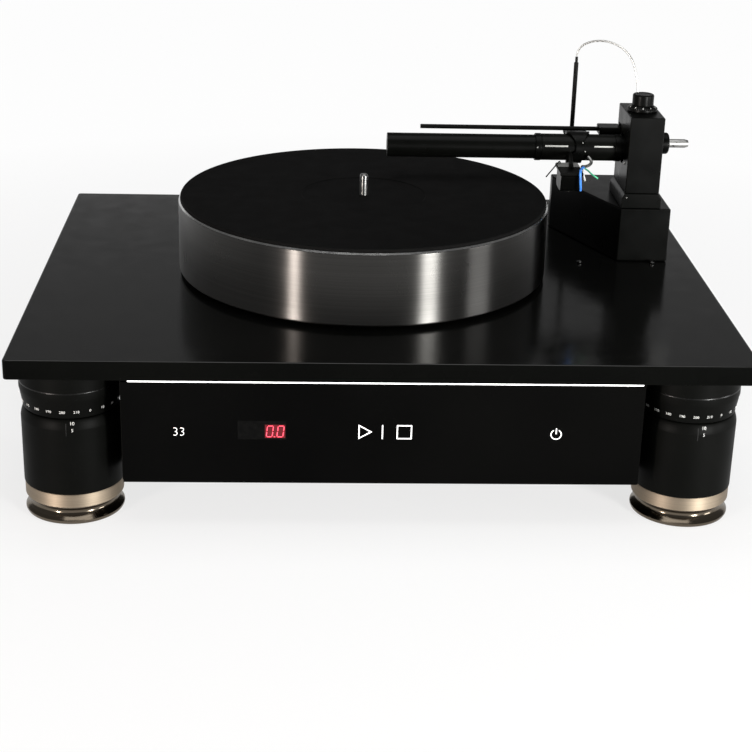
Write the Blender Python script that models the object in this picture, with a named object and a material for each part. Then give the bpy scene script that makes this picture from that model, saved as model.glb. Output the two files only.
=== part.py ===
"""Record player with a linear tracking arm, as separate named pieces.

Lengths are in metres, with Z up and the front at -Y.
"""

import math

import bmesh
import bpy

# Clearances
GAP = 0.0003
BORE_GAP = 0.0003
RUNNING_GAP = 0.0004
OVERRUN = 0.0012

# Facets round the pieces
PLATTER_SEGMENTS = 96
FOOT_SEGMENTS = 40
MID_SEGMENTS = 32
SMALL_SEGMENTS = 20
TINY_SEGMENTS = 12
CORNER_STEPS = 4
BEVEL_STEPS = 2

# Plinth plate
PLINTH_WIDTH = 0.542
PLINTH_DEPTH = 0.427
PLINTH_THICKNESS = 0.015
PLINTH_EDGE = 0.003
PLINTH_CORNER = 0.006

# Feet, from the sole up
FOOT_INSET_X = 0.0415
FOOT_INSET_Y = 0.042
BASE_RADIUS = 0.0368
SOLE_INSET = 0.0013
SOLE_EDGE = 0.0012
BASE_RIM_HEIGHT = 0.0033
BASE_FLARE_HEIGHT = 0.0024
WAIST_DEPTH = 0.005
WAIST_HEIGHT = 0.0036
WAIST_FLARE_HEIGHT = 0.0029
BAND_RADIUS = 0.0365
BAND_HEIGHT = 0.0105
BAND_EDGE = 0.0006
BODY_RADIUS = 0.037
BODY_HEIGHT = 0.0587
BODY_EDGE = 0.0012
NECK_DEPTH = 0.0035
NECK_HEIGHT = 0.0031
RING_RADIUS = 0.0375
RING_HEIGHT = 0.0244
RING_TAPER_DEPTH = 0.0035
RING_TAPER_HEIGHT = 0.0059
RING_EDGE = 0.0012
STUD_RADIUS = 0.012

# Box under the plate
CHASSIS_SIDE_GAP = 0.002
CHASSIS_HEIGHT = 0.0814
CHASSIS_WALL = 0.003
CHASSIS_REAR_INSET = 0.030
COVER_THICKNESS = 0.002

# Glass front, light line and display
GLASS_SIDE = 0.001
GLASS_INSET = 0.005
GLASS_THICKNESS = 0.004
GLASS_EDGE = 0.0008
LIGHT_LEFT_MARGIN = 0.005
LIGHT_RIGHT_MARGIN = 0.002
LIGHT_HEIGHT = 0.0021
LIGHT_PROUD = 0.0012
DISPLAY_X = -0.0882
DISPLAY_DROP = 0.0392
DISPLAY_WIDTH = 0.040
DISPLAY_HEIGHT = 0.019
DISPLAY_DEPTH = 0.012

# Platter and its bearing
SPINDLE_INSET_Y = 0.2157
PLATTER_RADIUS = 0.150
PLATTER_LIFT = 0.003
PLATTER_HEIGHT = 0.0574
PLATTER_EDGE = 0.0015
PLATTER_WEB = 0.0144
PLATTER_RIM = 0.016
MAT_INSET = 0.0015
MAT_THICKNESS = 0.0025
MAT_EDGE = 0.0008
SHAFT_RADIUS = 0.008
SHAFT_DEPTH = 0.050
SHAFT_COLLAR_WIDTH = 0.006
SHAFT_COLLAR_HEIGHT = 0.0027
SHAFT_COLLAR_GAP = 0.0008
PIN_RADIUS = 0.0035
PIN_RISE = 0.017
PIN_HEAD_WIDTH = 0.0003
PIN_HEAD_HEIGHT = 0.006
PIN_ROUND = 0.0018
SUB_RADIUS = 0.062
SUB_TRACK_HEIGHT = 0.0137
SUB_HUB_RADIUS = 0.040
HOUSING_WALL = 0.0077
HOUSING_FLOOR = 0.006
HOUSING_FLANGE_WIDTH = 0.012
HOUSING_FLANGE_HEIGHT = 0.004
HOUSING_HUB_HEIGHT = 0.0042

# Motor, pulley and belt
MOTOR_SPREAD = 0.098
MOTOR_ANGLE = math.radians(-25.0)
MOTOR_RADIUS = 0.025
MOTOR_HEIGHT = 0.044
MOTOR_SHAFT_RADIUS = 0.003
MOTOR_SHAFT_DEPTH = 0.020
MOTOR_HOLE_GAP = 0.004
PULLEY_RADIUS = 0.010
PULLEY_FLANGE_WIDTH = 0.0015
PULLEY_FLANGE_HEIGHT = 0.0015
BELT_HEIGHT = 0.006
BELT_THICKNESS = 0.001

# Power supply and rear sockets
SUPPLY_SIDE = 0.080
SUPPLY_REAR_INSET = 0.107
SUPPLY_RADIUS = 0.034
SUPPLY_HOLE_RADIUS = 0.010
SUPPLY_HEIGHT = 0.032
SUPPLY_EDGE = 0.006
SOCKET_DROP = 0.0392
INLET_SIDE = 0.070
INLET_WIDTH = 0.027
INLET_HEIGHT = 0.020
INLET_DEPTH = 0.018
INLET_WALL = 0.002
INLET_RIM = 0.002
INLET_RIM_DEPTH = 0.0015
SIGNAL_SIDE = 0.070
SIGNAL_PITCH = 0.030
SIGNAL_RADIUS = 0.0045
SIGNAL_FLANGE_WIDTH = 0.0025
SIGNAL_FLANGE_DEPTH = 0.002
SIGNAL_BORE_RADIUS = 0.0016
SIGNAL_BORE_DEPTH = 0.009
SIGNAL_OUT = 0.010
SIGNAL_IN = 0.010

# Arm tower, with the bar through its middle
WAND_REACH = 0.0523
TOWER_INSET_X = 0.0482
TOWER_SPREAD = 0.2335
TOWER_WIDTH = 0.0286
TOWER_DEPTH = 0.056
TOWER_WALL = 0.003
TOWER_ROOF = 0.0035
TOWER_EDGE = 0.0006
TOWER_OVER_BAR = 0.0322
FOOT_BLOCK_SIDE = 0.0025
FOOT_BLOCK_BACK = 0.003
FOOT_BLOCK_HEIGHT = 0.0124
FOOT_BLOCK_CHAMFER = 0.004

# Arm base
ARM_BASE_HEIGHT = 0.046
ARM_BASE_LENGTH = 0.087
ARM_BASE_DEPTH = 0.108
ARM_BASE_SIDE = 0.009
ARM_BASE_CORNER = 0.0094
ARM_BASE_EDGE = 0.0008
SCREW_LEFT = 0.0325
SCREW_RIGHT = 0.0292
SCREW_FRONT = 0.0057
SCREW_RADIUS = 0.0022
SCREW_HEIGHT = 0.0016
SCREW_SOCKET_RADIUS = 0.0011
SCREW_SOCKET_DEPTH = 0.0009

# Air bar and the sliding block that carries it
BAR_RISE = 0.0281
BAR_RADIUS = 0.010
BAR_REACH = 0.1987
BAR_BORE_RADIUS = 0.0045
BAR_BORE_DEPTH = 0.004
HEIGHT_TRAVEL = 0.002
BLOCK_FRONT = 0.017
BLOCK_BACK = 0.0235
BLOCK_BELOW = 0.014
BLOCK_ABOVE = 0.019
COLLAR_RISE = 0.0045
COLLAR_RADIUS = 0.009
COLLAR_OUT = 0.0098
COLLAR_ROUND = 0.002
NOZZLE_RADIUS = 0.0036
NOZZLE_TAPER = 0.0008
NOZZLE_LENGTH = 0.0167
NOZZLE_BORE_RADIUS = 0.0016
NOZZLE_BARB = 0.003

# Height knob
DIAL_RADIUS = 0.0124
DIAL_SKIRT = 0.0022
DIAL_HEIGHT = 0.0045
KNOB_RADIUS = 0.0089
KNOB_HEIGHT = 0.0112
KNOB_EDGE = 0.0008
LEAD_SCREW_RADIUS = 0.003
LEAD_SCREW_END_GAP = 0.0008

# Lift rail and its holder
RAIL_BACK = 0.018
RAIL_RISE = 0.0117
RAIL_RADIUS = 0.0019
RAIL_REACH = 0.1699
RAIL_GRIP = 0.012
RAIL_TRAVEL = 0.0008
HOLDER_LENGTH = 0.0185
HOLDER_FRONT = 0.0075
HOLDER_BACK = 0.008
HOLDER_BELOW = 0.0042
HOLDER_ABOVE = 0.003
HOLDER_EDGE = 0.0006
TONGUE_HALF_WIDTH = 0.004
TONGUE_ROOT = 0.003

# Carriage
PARKED_GAP = 0.002
SLEEVE_LENGTH = 0.0724
SLEEVE_WALL = 0.00075
SLEEVE_COLLAR_STEP = 0.00035
SLEEVE_COLLAR_WIDTH = 0.005
SLOT_MARGIN = 0.007
SLOT_LEFT_LENGTH = 0.0204
SLOT_RIGHT_LENGTH = 0.017
SLOT_HALF_HEIGHT = 0.00105
SLOT_RISE = 0.0031
SLOT_REACH = 0.006

# Arm strap
STRAP_THICKNESS = 0.002
STRAP_WIDE = 0.0098
STRAP_WAIST = 0.0028
STRAP_BACK = 0.0045
STRAP_LOW_LEFT = 0.010
STRAP_LOW_RIGHT = 0.003
STRAP_STEPS = 32
STRAP_TURN_SHARES = (0.0, 0.13, 0.24, 0.42, 0.50, 0.57, 0.70, 1.0)
TAIL_THICKNESS = 0.0018
TAIL_SHOULDER = 0.005
TAIL_END = 0.003

# Arm tube, headshell and cartridge
WAND_RADIUS = 0.0019
WAND_OFFSET = 0.0078
WAND_TOE_OFFSET = 0.001
WAND_TOE = 0.0013
WAND_DROP = 0.0028
SHELL_OFFSET = 0.0133
SHELL_WIDTH = 0.019
SHELL_FRONT = 0.0122
SHELL_BACK = 0.0198
SHELL_THICKNESS = 0.003
SHELL_EDGE = 0.0006
CARTRIDGE_SIDE = 0.001
CARTRIDGE_NOSE = 0.0112
CARTRIDGE_LENGTH = 0.0255
CARTRIDGE_HEIGHT = 0.0137
CARTRIDGE_CHIN_IN = 0.002
CARTRIDGE_CHIN_HEIGHT = 0.0023
CARTRIDGE_KEEL_IN = 0.0047
CARTRIDGE_TAIL_IN = 0.002
CARTRIDGE_TAIL_HEIGHT = 0.004
CARTRIDGE_EDGE = 0.0005
CONTACT_SIZE = 0.0011
CONTACT_LENGTH = 0.004
CONTACT_RISE = 0.006
CONTACT_SPREAD = 0.005
STYLUS_BODY_WIDTH = 0.006
STYLUS_BODY_LENGTH = 0.010
STYLUS_BODY_HEIGHT = 0.0009
STYLUS_BODY_LEAD = 0.0018
STYLUS_DROP = 0.001
STYLUS_ROOT_RADIUS = 0.0005
STYLUS_TIP_RADIUS = 0.00012
STYLUS_SINK = 0.0003

# Finger lift
LIFT_WIRE_RADIUS = 0.0005
LIFT_ROOT = 0.0035
LIFT_RISE = 0.0021
LIFT_OUT = 0.0150
LIFT_FORWARD = 0.0281
LIFT_ALONG_SHARES = (0.0, 0.03, 0.1)
LIFT_UP_SHARES = (0.45, 0.85, 1.0)
LIFT_DROP = 0.006

# Cord routes as (x, y, z) from the stylus line on the headshell's top
LEAD_TUBE_RADIUS = 0.0013
LEAD_TUBE_ROUTE = ((0.0208, 0.0393, 0.0003), (0.0230, 0.0363, -0.0023), (0.0225, 0.0328, -0.0038),
                   (0.0195, 0.0283, -0.0045),
                   (0.0155, 0.0228, -0.0039), (0.0130, 0.0173, -0.0025), (0.0120, 0.0123, -0.0013))
CLIP_RADIUS = 0.0016
CLIP_ROUTE = ((0.0118, 0.0078, -0.0008), (0.0120, 0.0113, -0.0011))
LEAD_RADIUS = 0.0006
BLUE_ROUTE = ((0.0118, 0.0088, -0.0008), (0.0112, -0.0077, -0.0007), (0.0106, -0.0127, -0.0025),
              (0.0107, -0.0139, -0.0085),
              (0.0113, -0.0135, -0.0155), (0.0120, -0.0087, -0.0185))
WHITE_ROUTE = ((0.0118, 0.0088, -0.0008), (0.0132, 0.0023, -0.0035), (0.0142, -0.0022, -0.0090),
               (0.0138, -0.0007, -0.0135))
GREEN_ROUTE = ((0.0118, 0.0088, -0.0008), (0.0175, 0.0033, -0.0025), (0.0220, -0.0007, -0.0060),
               (0.0255, -0.0047, -0.0090))

# Wire mast, and the signal wire's route as (x, y, z) from its tip
MAST_SIDE = 0.0131
MAST_BACK = 0.018
MAST_RADIUS = 0.00195
MAST_HEIGHT = 0.1037
MAST_TIP_RADIUS = 0.0012
MAST_TIP_HEIGHT = 0.005
WIRE_RADIUS = 0.0009
WIRE_ROUTE = ((0.0000, 0.0000, 0.0012), (0.0007, -0.0007, 0.0050), (0.0033, -0.0025, 0.0095),
              (0.0065, -0.0048, 0.0123),
              (0.0121, -0.0092, 0.0152), (0.0200, -0.0155, 0.0168), (0.0270, -0.0209, 0.0160),
              (0.0330, -0.0258, 0.0137),
              (0.0379, -0.0296, 0.0098), (0.0415, -0.0324, 0.0050), (0.0442, -0.0345, -0.0015),
              (0.0465, -0.0364, -0.0105),
              (0.0478, -0.0375, -0.0195), (0.0480, -0.0380, -0.0306))

# Heights that follow from the ones above
BASE_KNEE_Z = SOLE_EDGE + BASE_RIM_HEIGHT
WAIST_LOW_Z = BASE_KNEE_Z + BASE_FLARE_HEIGHT
WAIST_TOP_Z = WAIST_LOW_Z + WAIST_HEIGHT
BASE_TOP_Z = WAIST_TOP_Z + WAIST_FLARE_HEIGHT
BAND_LOW_Z = BASE_TOP_Z + GAP
BAND_TOP_Z = BAND_LOW_Z + BAND_HEIGHT
BODY_LOW_Z = BAND_TOP_Z + GAP
BODY_TOP_Z = BODY_LOW_Z + BODY_HEIGHT
NECK_TOP_Z = BODY_TOP_Z + NECK_HEIGHT
RING_LOW_Z = NECK_TOP_Z + GAP
RING_KNEE_Z = RING_LOW_Z + RING_TAPER_HEIGHT
RING_TOP_Z = RING_KNEE_Z + RING_HEIGHT
DECK_LOW_Z = RING_TOP_Z + GAP
DECK_Z = DECK_LOW_Z + PLINTH_THICKNESS
CHASSIS_TOP_Z = DECK_LOW_Z - GAP
CHASSIS_LOW_Z = CHASSIS_TOP_Z - CHASSIS_HEIGHT
DISPLAY_Z = DECK_LOW_Z - DISPLAY_DROP
SOCKET_Z = DECK_LOW_Z - SOCKET_DROP
PLATTER_LOW_Z = DECK_Z + PLATTER_LIFT
PLATTER_TOP_Z = PLATTER_LOW_Z + PLATTER_HEIGHT
PLATTER_WEB_Z = PLATTER_TOP_Z - PLATTER_WEB
MAT_LOW_Z = PLATTER_TOP_Z + GAP
MAT_TOP_Z = MAT_LOW_Z + MAT_THICKNESS
SHAFT_LOW_Z = DECK_Z - SHAFT_DEPTH
FLANGE_LOW_Z = DECK_Z + GAP
FLANGE_TOP_Z = FLANGE_LOW_Z + HOUSING_FLANGE_HEIGHT
HOUSING_TOP_Z = FLANGE_TOP_Z + HOUSING_HUB_HEIGHT
SHAFT_COLLAR_Z = HOUSING_TOP_Z + SHAFT_COLLAR_GAP
SUB_LOW_Z = SHAFT_COLLAR_Z + SHAFT_COLLAR_HEIGHT + GAP
SUB_TRACK_Z = SUB_LOW_Z + SUB_TRACK_HEIGHT
SUB_TOP_Z = PLATTER_WEB_Z - GAP
BELT_LOW_Z = SUB_LOW_Z + (SUB_TRACK_HEIGHT - BELT_HEIGHT) / 2
BELT_TOP_Z = BELT_LOW_Z + BELT_HEIGHT
BAR_Z = MAT_TOP_Z + BAR_RISE
COLLAR_Z = BAR_Z + COLLAR_RISE
RAIL_Z = BAR_Z + RAIL_RISE
HOLDER_LOW_Z = RAIL_Z - HOLDER_BELOW
HOLDER_TOP_Z = RAIL_Z + HOLDER_ABOVE
WAND_Z = BAR_Z - WAND_DROP
SHELL_TOP_Z = WAND_Z - WAND_RADIUS - GAP
SHELL_LOW_Z = SHELL_TOP_Z - SHELL_THICKNESS
ARM_BASE_TOP_Z = DECK_Z + GAP + ARM_BASE_HEIGHT
FOOT_BLOCK_LOW_Z = ARM_BASE_TOP_Z + GAP
FOOT_BLOCK_TOP_Z = FOOT_BLOCK_LOW_Z + FOOT_BLOCK_HEIGHT
TOWER_LOW_Z = FOOT_BLOCK_TOP_Z + GAP
TOWER_TOP_Z = BAR_Z + TOWER_OVER_BAR

# Places across and along that follow from the sizes above
FRONT_Y = -PLINTH_DEPTH / 2
FOOT_X = PLINTH_WIDTH / 2 - FOOT_INSET_X
FOOT_Y = FRONT_Y + FOOT_INSET_Y
FOOT_REACH = max(RING_RADIUS, BODY_RADIUS, BAND_RADIUS, BASE_RADIUS)
CHASSIS_HALF_WIDTH = FOOT_X - FOOT_REACH - CHASSIS_SIDE_GAP
GLASS_Y = FRONT_Y + GLASS_INSET
CHASSIS_FRONT_Y = GLASS_Y + GLASS_THICKNESS + GAP
CHASSIS_REAR_Y = -FRONT_Y - CHASSIS_REAR_INSET
SUPPLY_X = CHASSIS_HALF_WIDTH - SUPPLY_SIDE
INLET_X = CHASSIS_HALF_WIDTH - INLET_SIDE
SIGNAL_X = -CHASSIS_HALF_WIDTH + SIGNAL_SIDE
TOWER_X = PLINTH_WIDTH / 2 - TOWER_INSET_X
SPINDLE_X = TOWER_X - TOWER_SPREAD
SPINDLE_Y = FRONT_Y + SPINDLE_INSET_Y
HOUSING_RADIUS = SHAFT_RADIUS + BORE_GAP + HOUSING_WALL
MOTOR_X = SPINDLE_X + MOTOR_SPREAD * math.cos(MOTOR_ANGLE)
MOTOR_Y = SPINDLE_Y + MOTOR_SPREAD * math.sin(MOTOR_ANGLE)
BAR_Y = SPINDLE_Y + WAND_REACH
RAIL_Y = BAR_Y + RAIL_BACK
TOWER_FRONT_Y = BAR_Y - TOWER_DEPTH / 2
TOWER_BACK_Y = BAR_Y + TOWER_DEPTH / 2
TOWER_LEFT_X = TOWER_X - TOWER_WIDTH / 2
TOWER_RIGHT_X = TOWER_X + TOWER_WIDTH / 2
FOOT_BLOCK_LEFT_X = TOWER_LEFT_X - FOOT_BLOCK_SIDE
FOOT_BLOCK_RIGHT_X = TOWER_RIGHT_X + FOOT_BLOCK_SIDE
FOOT_BLOCK_BACK_Y = TOWER_BACK_Y + FOOT_BLOCK_BACK
ARM_BASE_RIGHT_X = FOOT_BLOCK_RIGHT_X + ARM_BASE_SIDE
ARM_BASE_LEFT_X = ARM_BASE_RIGHT_X - ARM_BASE_LENGTH
ARM_BASE_BACK_Y = TOWER_FRONT_Y + ARM_BASE_DEPTH
BLOCK_LEFT_X = TOWER_LEFT_X + TOWER_WALL + GAP
BLOCK_RIGHT_X = TOWER_RIGHT_X - TOWER_WALL - GAP
BAR_LEFT_X = TOWER_LEFT_X - BAR_REACH
BAR_RIGHT_X = BLOCK_RIGHT_X - TOWER_WALL - GAP
COLLAR_END_X = TOWER_RIGHT_X + COLLAR_OUT
HOLDER_LEFT_X = TOWER_LEFT_X - HOLDER_LENGTH
HOLDER_RIGHT_X = TOWER_LEFT_X - GAP
SLEEVE_RIGHT_X = TOWER_LEFT_X - PARKED_GAP
SLEEVE_LEFT_X = SLEEVE_RIGHT_X - SLEEVE_LENGTH
SLEEVE_RADIUS = BAR_RADIUS + BORE_GAP + SLEEVE_WALL
STRAP_X = SLEEVE_LEFT_X + SLEEVE_LENGTH / 2
STRAP_BORE_RADIUS = SLEEVE_RADIUS + GAP
STRAP_RADIUS = STRAP_BORE_RADIUS + STRAP_THICKNESS
STYLUS_X = STRAP_X - SHELL_OFFSET
SHELL_LEFT_X = STYLUS_X - SHELL_WIDTH / 2
SHELL_RIGHT_X = STYLUS_X + SHELL_WIDTH / 2
MAST_X = ARM_BASE_LEFT_X + MAST_SIDE
MAST_Y = ARM_BASE_BACK_Y - MAST_BACK
MAST_LOW_Z = ARM_BASE_TOP_Z + GAP


def clear_scene():
    for old in list(bpy.data.objects):
        bpy.data.objects.remove(old, do_unlink=True)


def surface(name, colour, metallic, roughness):
    found = bpy.data.materials.get(name)
    if found:
        return found
    made = bpy.data.materials.new(name)
    made.use_nodes = True
    shader = made.node_tree.nodes["Principled BSDF"]
    shader.inputs["Base Color"].default_value = (*colour, 1.0)
    shader.inputs["Metallic"].default_value = metallic
    shader.inputs["Roughness"].default_value = roughness
    return made


def satin_black():
    return surface("satin_black", (0.018, 0.018, 0.018), 0.0, 0.38)


def arm_black():
    return surface("arm_black", (0.012, 0.013, 0.012), 0.2, 0.42)


def gloss_black():
    return surface("gloss_black", (0.006, 0.006, 0.007), 0.0, 0.06)


def dark_chrome():
    return surface("dark_chrome", (0.20, 0.20, 0.21), 1.0, 0.12)


def champagne_metal():
    return surface("champagne_metal", (0.42, 0.34, 0.27), 1.0, 0.28)


def bright_metal():
    return surface("bright_metal", (0.78, 0.78, 0.78), 1.0, 0.10)


def brushed_metal():
    return surface("brushed_metal", (0.62, 0.62, 0.62), 1.0, 0.32)


def mat_rubber():
    return surface("mat_rubber", (0.010, 0.010, 0.010), 0.0, 0.85)


def belt_rubber():
    return surface("belt_rubber", (0.015, 0.015, 0.015), 0.0, 0.70)


def white_light():
    return surface("white_light", (0.95, 0.95, 0.95), 0.0, 0.30)


def red_display():
    return surface("red_display", (0.30, 0.010, 0.010), 0.0, 0.30)


def copper_winding():
    return surface("copper_winding", (0.45, 0.20, 0.09), 0.6, 0.45)


def clear_wire():
    return surface("clear_wire", (0.70, 0.70, 0.68), 0.3, 0.30)


def lead_plastic():
    return surface("lead_plastic", (0.05, 0.16, 0.45), 0.0, 0.45)


def grey_plate():
    return surface("grey_plate", (0.16, 0.16, 0.16), 0.4, 0.40)


def place_mesh(name, points, faces, material, smooth_angle=math.radians(35.0)):
    """One object of these points and faces, with its normals turned out."""
    mesh = bpy.data.meshes.new(name)
    mesh.from_pydata(points, [], faces)
    shape = bmesh.new()
    shape.from_mesh(mesh)
    bmesh.ops.recalc_face_normals(shape, faces=shape.faces)
    shape.to_mesh(mesh)
    shape.free()
    mesh.shade_smooth()
    mesh.set_sharp_from_angle(angle=smooth_angle)
    mesh.materials.append(material)
    made = bpy.data.objects.new(name, mesh)
    bpy.context.scene.collection.objects.link(made)
    return made


def turned(name, profile, segments, material, centre=(0.0, 0.0, 0.0), lying=False):
    """A closed (radius, height) profile turned about Z through centre, or about X when lying."""
    points = []
    rings = []
    for radius, height in profile:
        ring = []
        count = segments if radius > 0 else 1
        for step in range(count):
            angle = math.tau * step / segments
            across = radius * math.cos(angle)
            along = radius * math.sin(angle)
            ring.append(len(points))
            points.append((height, across, along) if lying else (across, along, height))
        rings.append(ring)
    faces = []
    for low, high in zip(rings, rings[1:] + rings[:1]):
        if len(low) == 1 and len(high) == 1:
            continue
        for step in range(segments):
            after = (step + 1) % segments
            corners = [low[step % len(low)], low[after % len(low)], high[after % len(high)],
                       high[step % len(high)]]
            faces.append(list(dict.fromkeys(corners)))
    made = place_mesh(name, points, faces, material)
    made.location = centre
    return made


def prism(name, outline, low_z, high_z, material, centre=(0.0, 0.0, 0.0)):
    """A flat outline of (x, y) points raised from low_z to high_z."""
    count = len(outline)
    points = [(x, y, low_z) for x, y in outline] + [(x, y, high_z) for x, y in outline]
    faces = [list(range(count)), list(range(count, 2 * count))]
    for step in range(count):
        after = (step + 1) % count
        faces.append([step, after, count + after, count + step])
    made = place_mesh(name, points, faces, material)
    made.location = centre
    return made


def ring_prism(name, outer, inner, low_z, high_z, material):
    """The band between two outlines of equal count, raised from low_z to high_z."""
    count = len(outer)
    points = []
    for outline, height in ((outer, low_z), (outer, high_z), (inner, high_z), (inner, low_z)):
        points += [(x, y, height) for x, y in outline]
    faces = []
    for level in range(4):
        for step in range(count):
            after = (step + 1) % count
            near = level * count
            far = (level + 1) % 4 * count
            faces.append([near + step, near + after, far + after, far + step])
    return place_mesh(name, points, faces, material)


def block(name, low, high, material, edge=0.0, steps=BEVEL_STEPS):
    """A box between two corners, its edges rounded by edge."""
    outline = ((low[0], low[1]), (high[0], low[1]), (high[0], high[1]), (low[0], high[1]))
    made = prism(name, outline, low[2], high[2], material)
    if edge > 0:
        round_edges(made, edge, steps)
    return made


def round_edges(made, width, steps=BEVEL_STEPS, angle=math.radians(50.0)):
    bevel = made.modifiers.new("edges", "BEVEL")
    bevel.width = width
    bevel.segments = steps
    bevel.limit_method = "ANGLE"
    bevel.angle_limit = angle


def combine(made, other, operation):
    """Adds or takes away another shape, which is then kept out of the result."""
    other.hide_render = True
    other.display_type = "WIRE"
    change = made.modifiers.new(other.name, "BOOLEAN")
    change.operation = operation
    change.solver = "EXACT"
    change.object = other
    return made


def cut(made, other):
    return combine(made, other, "DIFFERENCE")


def join(made, other):
    return combine(made, other, "UNION")


def rounded_slot(name, half_width, half_length, low_x, high_x, centre_y, centre_z, material):
    """A cutter along X with upright straight sides and round ends."""
    outline = []
    for side, start in ((1, 0.0), (-1, math.pi)):
        for step in range(TINY_SEGMENTS + 1):
            angle = start + math.pi * step / TINY_SEGMENTS
            outline.append((half_width * math.cos(angle), side * half_length + half_width * math.sin(angle)))
    count = len(outline)
    points = [(low_x, centre_y + y, centre_z + z) for y, z in outline]
    points += [(high_x, centre_y + y, centre_z + z) for y, z in outline]
    faces = [list(range(count)), list(range(count, 2 * count))]
    for step in range(count):
        after = (step + 1) % count
        faces.append([step, after, count + after, count + step])
    return place_mesh(name, points, faces, material)


def bent_tube(name, route, radius, material, resolution=2):
    """A round tube along a route, as a curve with closed ends."""
    curve = bpy.data.curves.new(name, "CURVE")
    curve.dimensions = "3D"
    curve.bevel_depth = radius
    curve.bevel_resolution = resolution
    curve.use_fill_caps = True
    line = curve.splines.new("POLY")
    line.points.add(len(route) - 1)
    for point, place in zip(line.points, route):
        point.co = (*place, 1.0)
    line.use_smooth = True
    curve.materials.append(material)
    made = bpy.data.objects.new(name, curve)
    bpy.context.scene.collection.objects.link(made)
    return made


def swept(name, route, radius, material, segments=8):
    """A round tube along a route, as a closed mesh."""
    points = []
    count = len(route)
    up = None
    for index, place in enumerate(route):
        before = route[max(index - 1, 0)]
        after = route[min(index + 1, count - 1)]
        ahead = [b - a for a, b in zip(before, after)]
        length = math.sqrt(sum(v * v for v in ahead))
        ahead = [v / length for v in ahead]
        if up is None:
            up = (1.0, 0.0, 0.0) if abs(ahead[0]) < 0.7 else (0.0, 1.0, 0.0)
        dot = sum(a * b for a, b in zip(up, ahead))
        up = [u - dot * a for u, a in zip(up, ahead)]
        size = math.sqrt(sum(v * v for v in up))
        up = [v / size for v in up]
        side = (ahead[1] * up[2] - ahead[2] * up[1], ahead[2] * up[0] - ahead[0] * up[2],
                ahead[0] * up[1] - ahead[1] * up[0])
        for step in range(segments):
            angle = math.tau * step / segments
            points.append([p + radius * (u * math.cos(angle) + s * math.sin(angle))
                           for p, u, s in zip(place, up, side)])
    faces = [list(range(segments)), list(range((count - 1) * segments, count * segments))]
    for index in range(count - 1):
        for step in range(segments):
            after = (step + 1) % segments
            near = index * segments
            far = near + segments
            faces.append([near + step, near + after, far + after, far + step])
    return place_mesh(name, points, faces, material)


def arc(centre_radius, centre_height, radius, start, end):
    """Profile points round a corner, from one angle to another."""
    points = []
    for step in range(CORNER_STEPS + 1):
        angle = start + (end - start) * step / CORNER_STEPS
        points.append((centre_radius + radius * math.cos(angle), centre_height + radius * math.sin(angle)))
    return points


def disc(radius, low, high, edge=0.0):
    """The profile of a solid round bar, with its outer edges broken by edge."""
    if edge == 0:
        return [(0, low), (radius, low), (radius, high), (0, high)]
    return [(0, low), (radius - edge, low), (radius, low + edge), (radius, high - edge),
            (radius - edge, high), (0, high)]


def pipe(inner, outer, low, high):
    """The profile of a tube."""
    return [(inner, low), (outer, low), (outer, high), (inner, high)]


def make_plinth():
    half = PLINTH_WIDTH / 2
    outline = []
    for side_x, side_y, start in ((1, 1, 0.0), (-1, 1, math.pi / 2), (-1, -1, math.pi),
                                  (1, -1, -math.pi / 2)):
        middle = (side_x * (half - PLINTH_CORNER), side_y * (-FRONT_Y - PLINTH_CORNER))
        outline += arc(*middle, PLINTH_CORNER, start, start + math.pi / 2)
    plate = prism("plinth_plate", outline, DECK_LOW_Z, DECK_Z, satin_black())
    round_edges(plate, PLINTH_EDGE, steps=3)
    bearing = disc(HOUSING_RADIUS + BORE_GAP, DECK_LOW_Z - OVERRUN, DECK_Z + OVERRUN)
    cut(plate, turned("bearing_hole", bearing, MID_SEGMENTS, satin_black(), (SPINDLE_X, SPINDLE_Y, 0)))
    shaft = disc(MOTOR_SHAFT_RADIUS + MOTOR_HOLE_GAP, DECK_LOW_Z - OVERRUN, DECK_Z + OVERRUN)
    cut(plate, turned("motor_hole", shaft, SMALL_SEGMENTS, satin_black(), (MOTOR_X, MOTOR_Y, 0)))


def foot_ring(name, centre):
    bore = STUD_RADIUS + BORE_GAP
    profile = [(bore, RING_LOW_Z), (RING_RADIUS - RING_TAPER_DEPTH, RING_LOW_Z), (RING_RADIUS, RING_KNEE_Z),
               (RING_RADIUS, RING_TOP_Z - RING_EDGE), (RING_RADIUS - RING_EDGE, RING_TOP_Z),
               (bore, RING_TOP_Z)]
    turned(name, profile, FOOT_SEGMENTS, satin_black(), centre)


def foot_body(name, centre):
    neck = BODY_RADIUS - NECK_DEPTH
    profile = [(0, BODY_LOW_Z), (BODY_RADIUS, BODY_LOW_Z), (BODY_RADIUS, BODY_TOP_Z - BODY_EDGE),
               (BODY_RADIUS - BODY_EDGE, BODY_TOP_Z),
               (neck, BODY_TOP_Z), (neck, NECK_TOP_Z), (STUD_RADIUS, NECK_TOP_Z),
               (STUD_RADIUS, RING_TOP_Z), (0, RING_TOP_Z)]
    turned(name, profile, FOOT_SEGMENTS, satin_black(), centre)


def foot_base(name, centre):
    waist = BAND_RADIUS - WAIST_DEPTH
    profile = [(0, 0), (BASE_RADIUS - SOLE_INSET, 0), (BASE_RADIUS, SOLE_EDGE),
               (BASE_RADIUS, BASE_KNEE_Z), (waist, WAIST_LOW_Z),
               (waist, WAIST_TOP_Z), (BAND_RADIUS, BASE_TOP_Z), (0, BASE_TOP_Z)]
    turned(name, profile, FOOT_SEGMENTS, dark_chrome(), centre)


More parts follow.
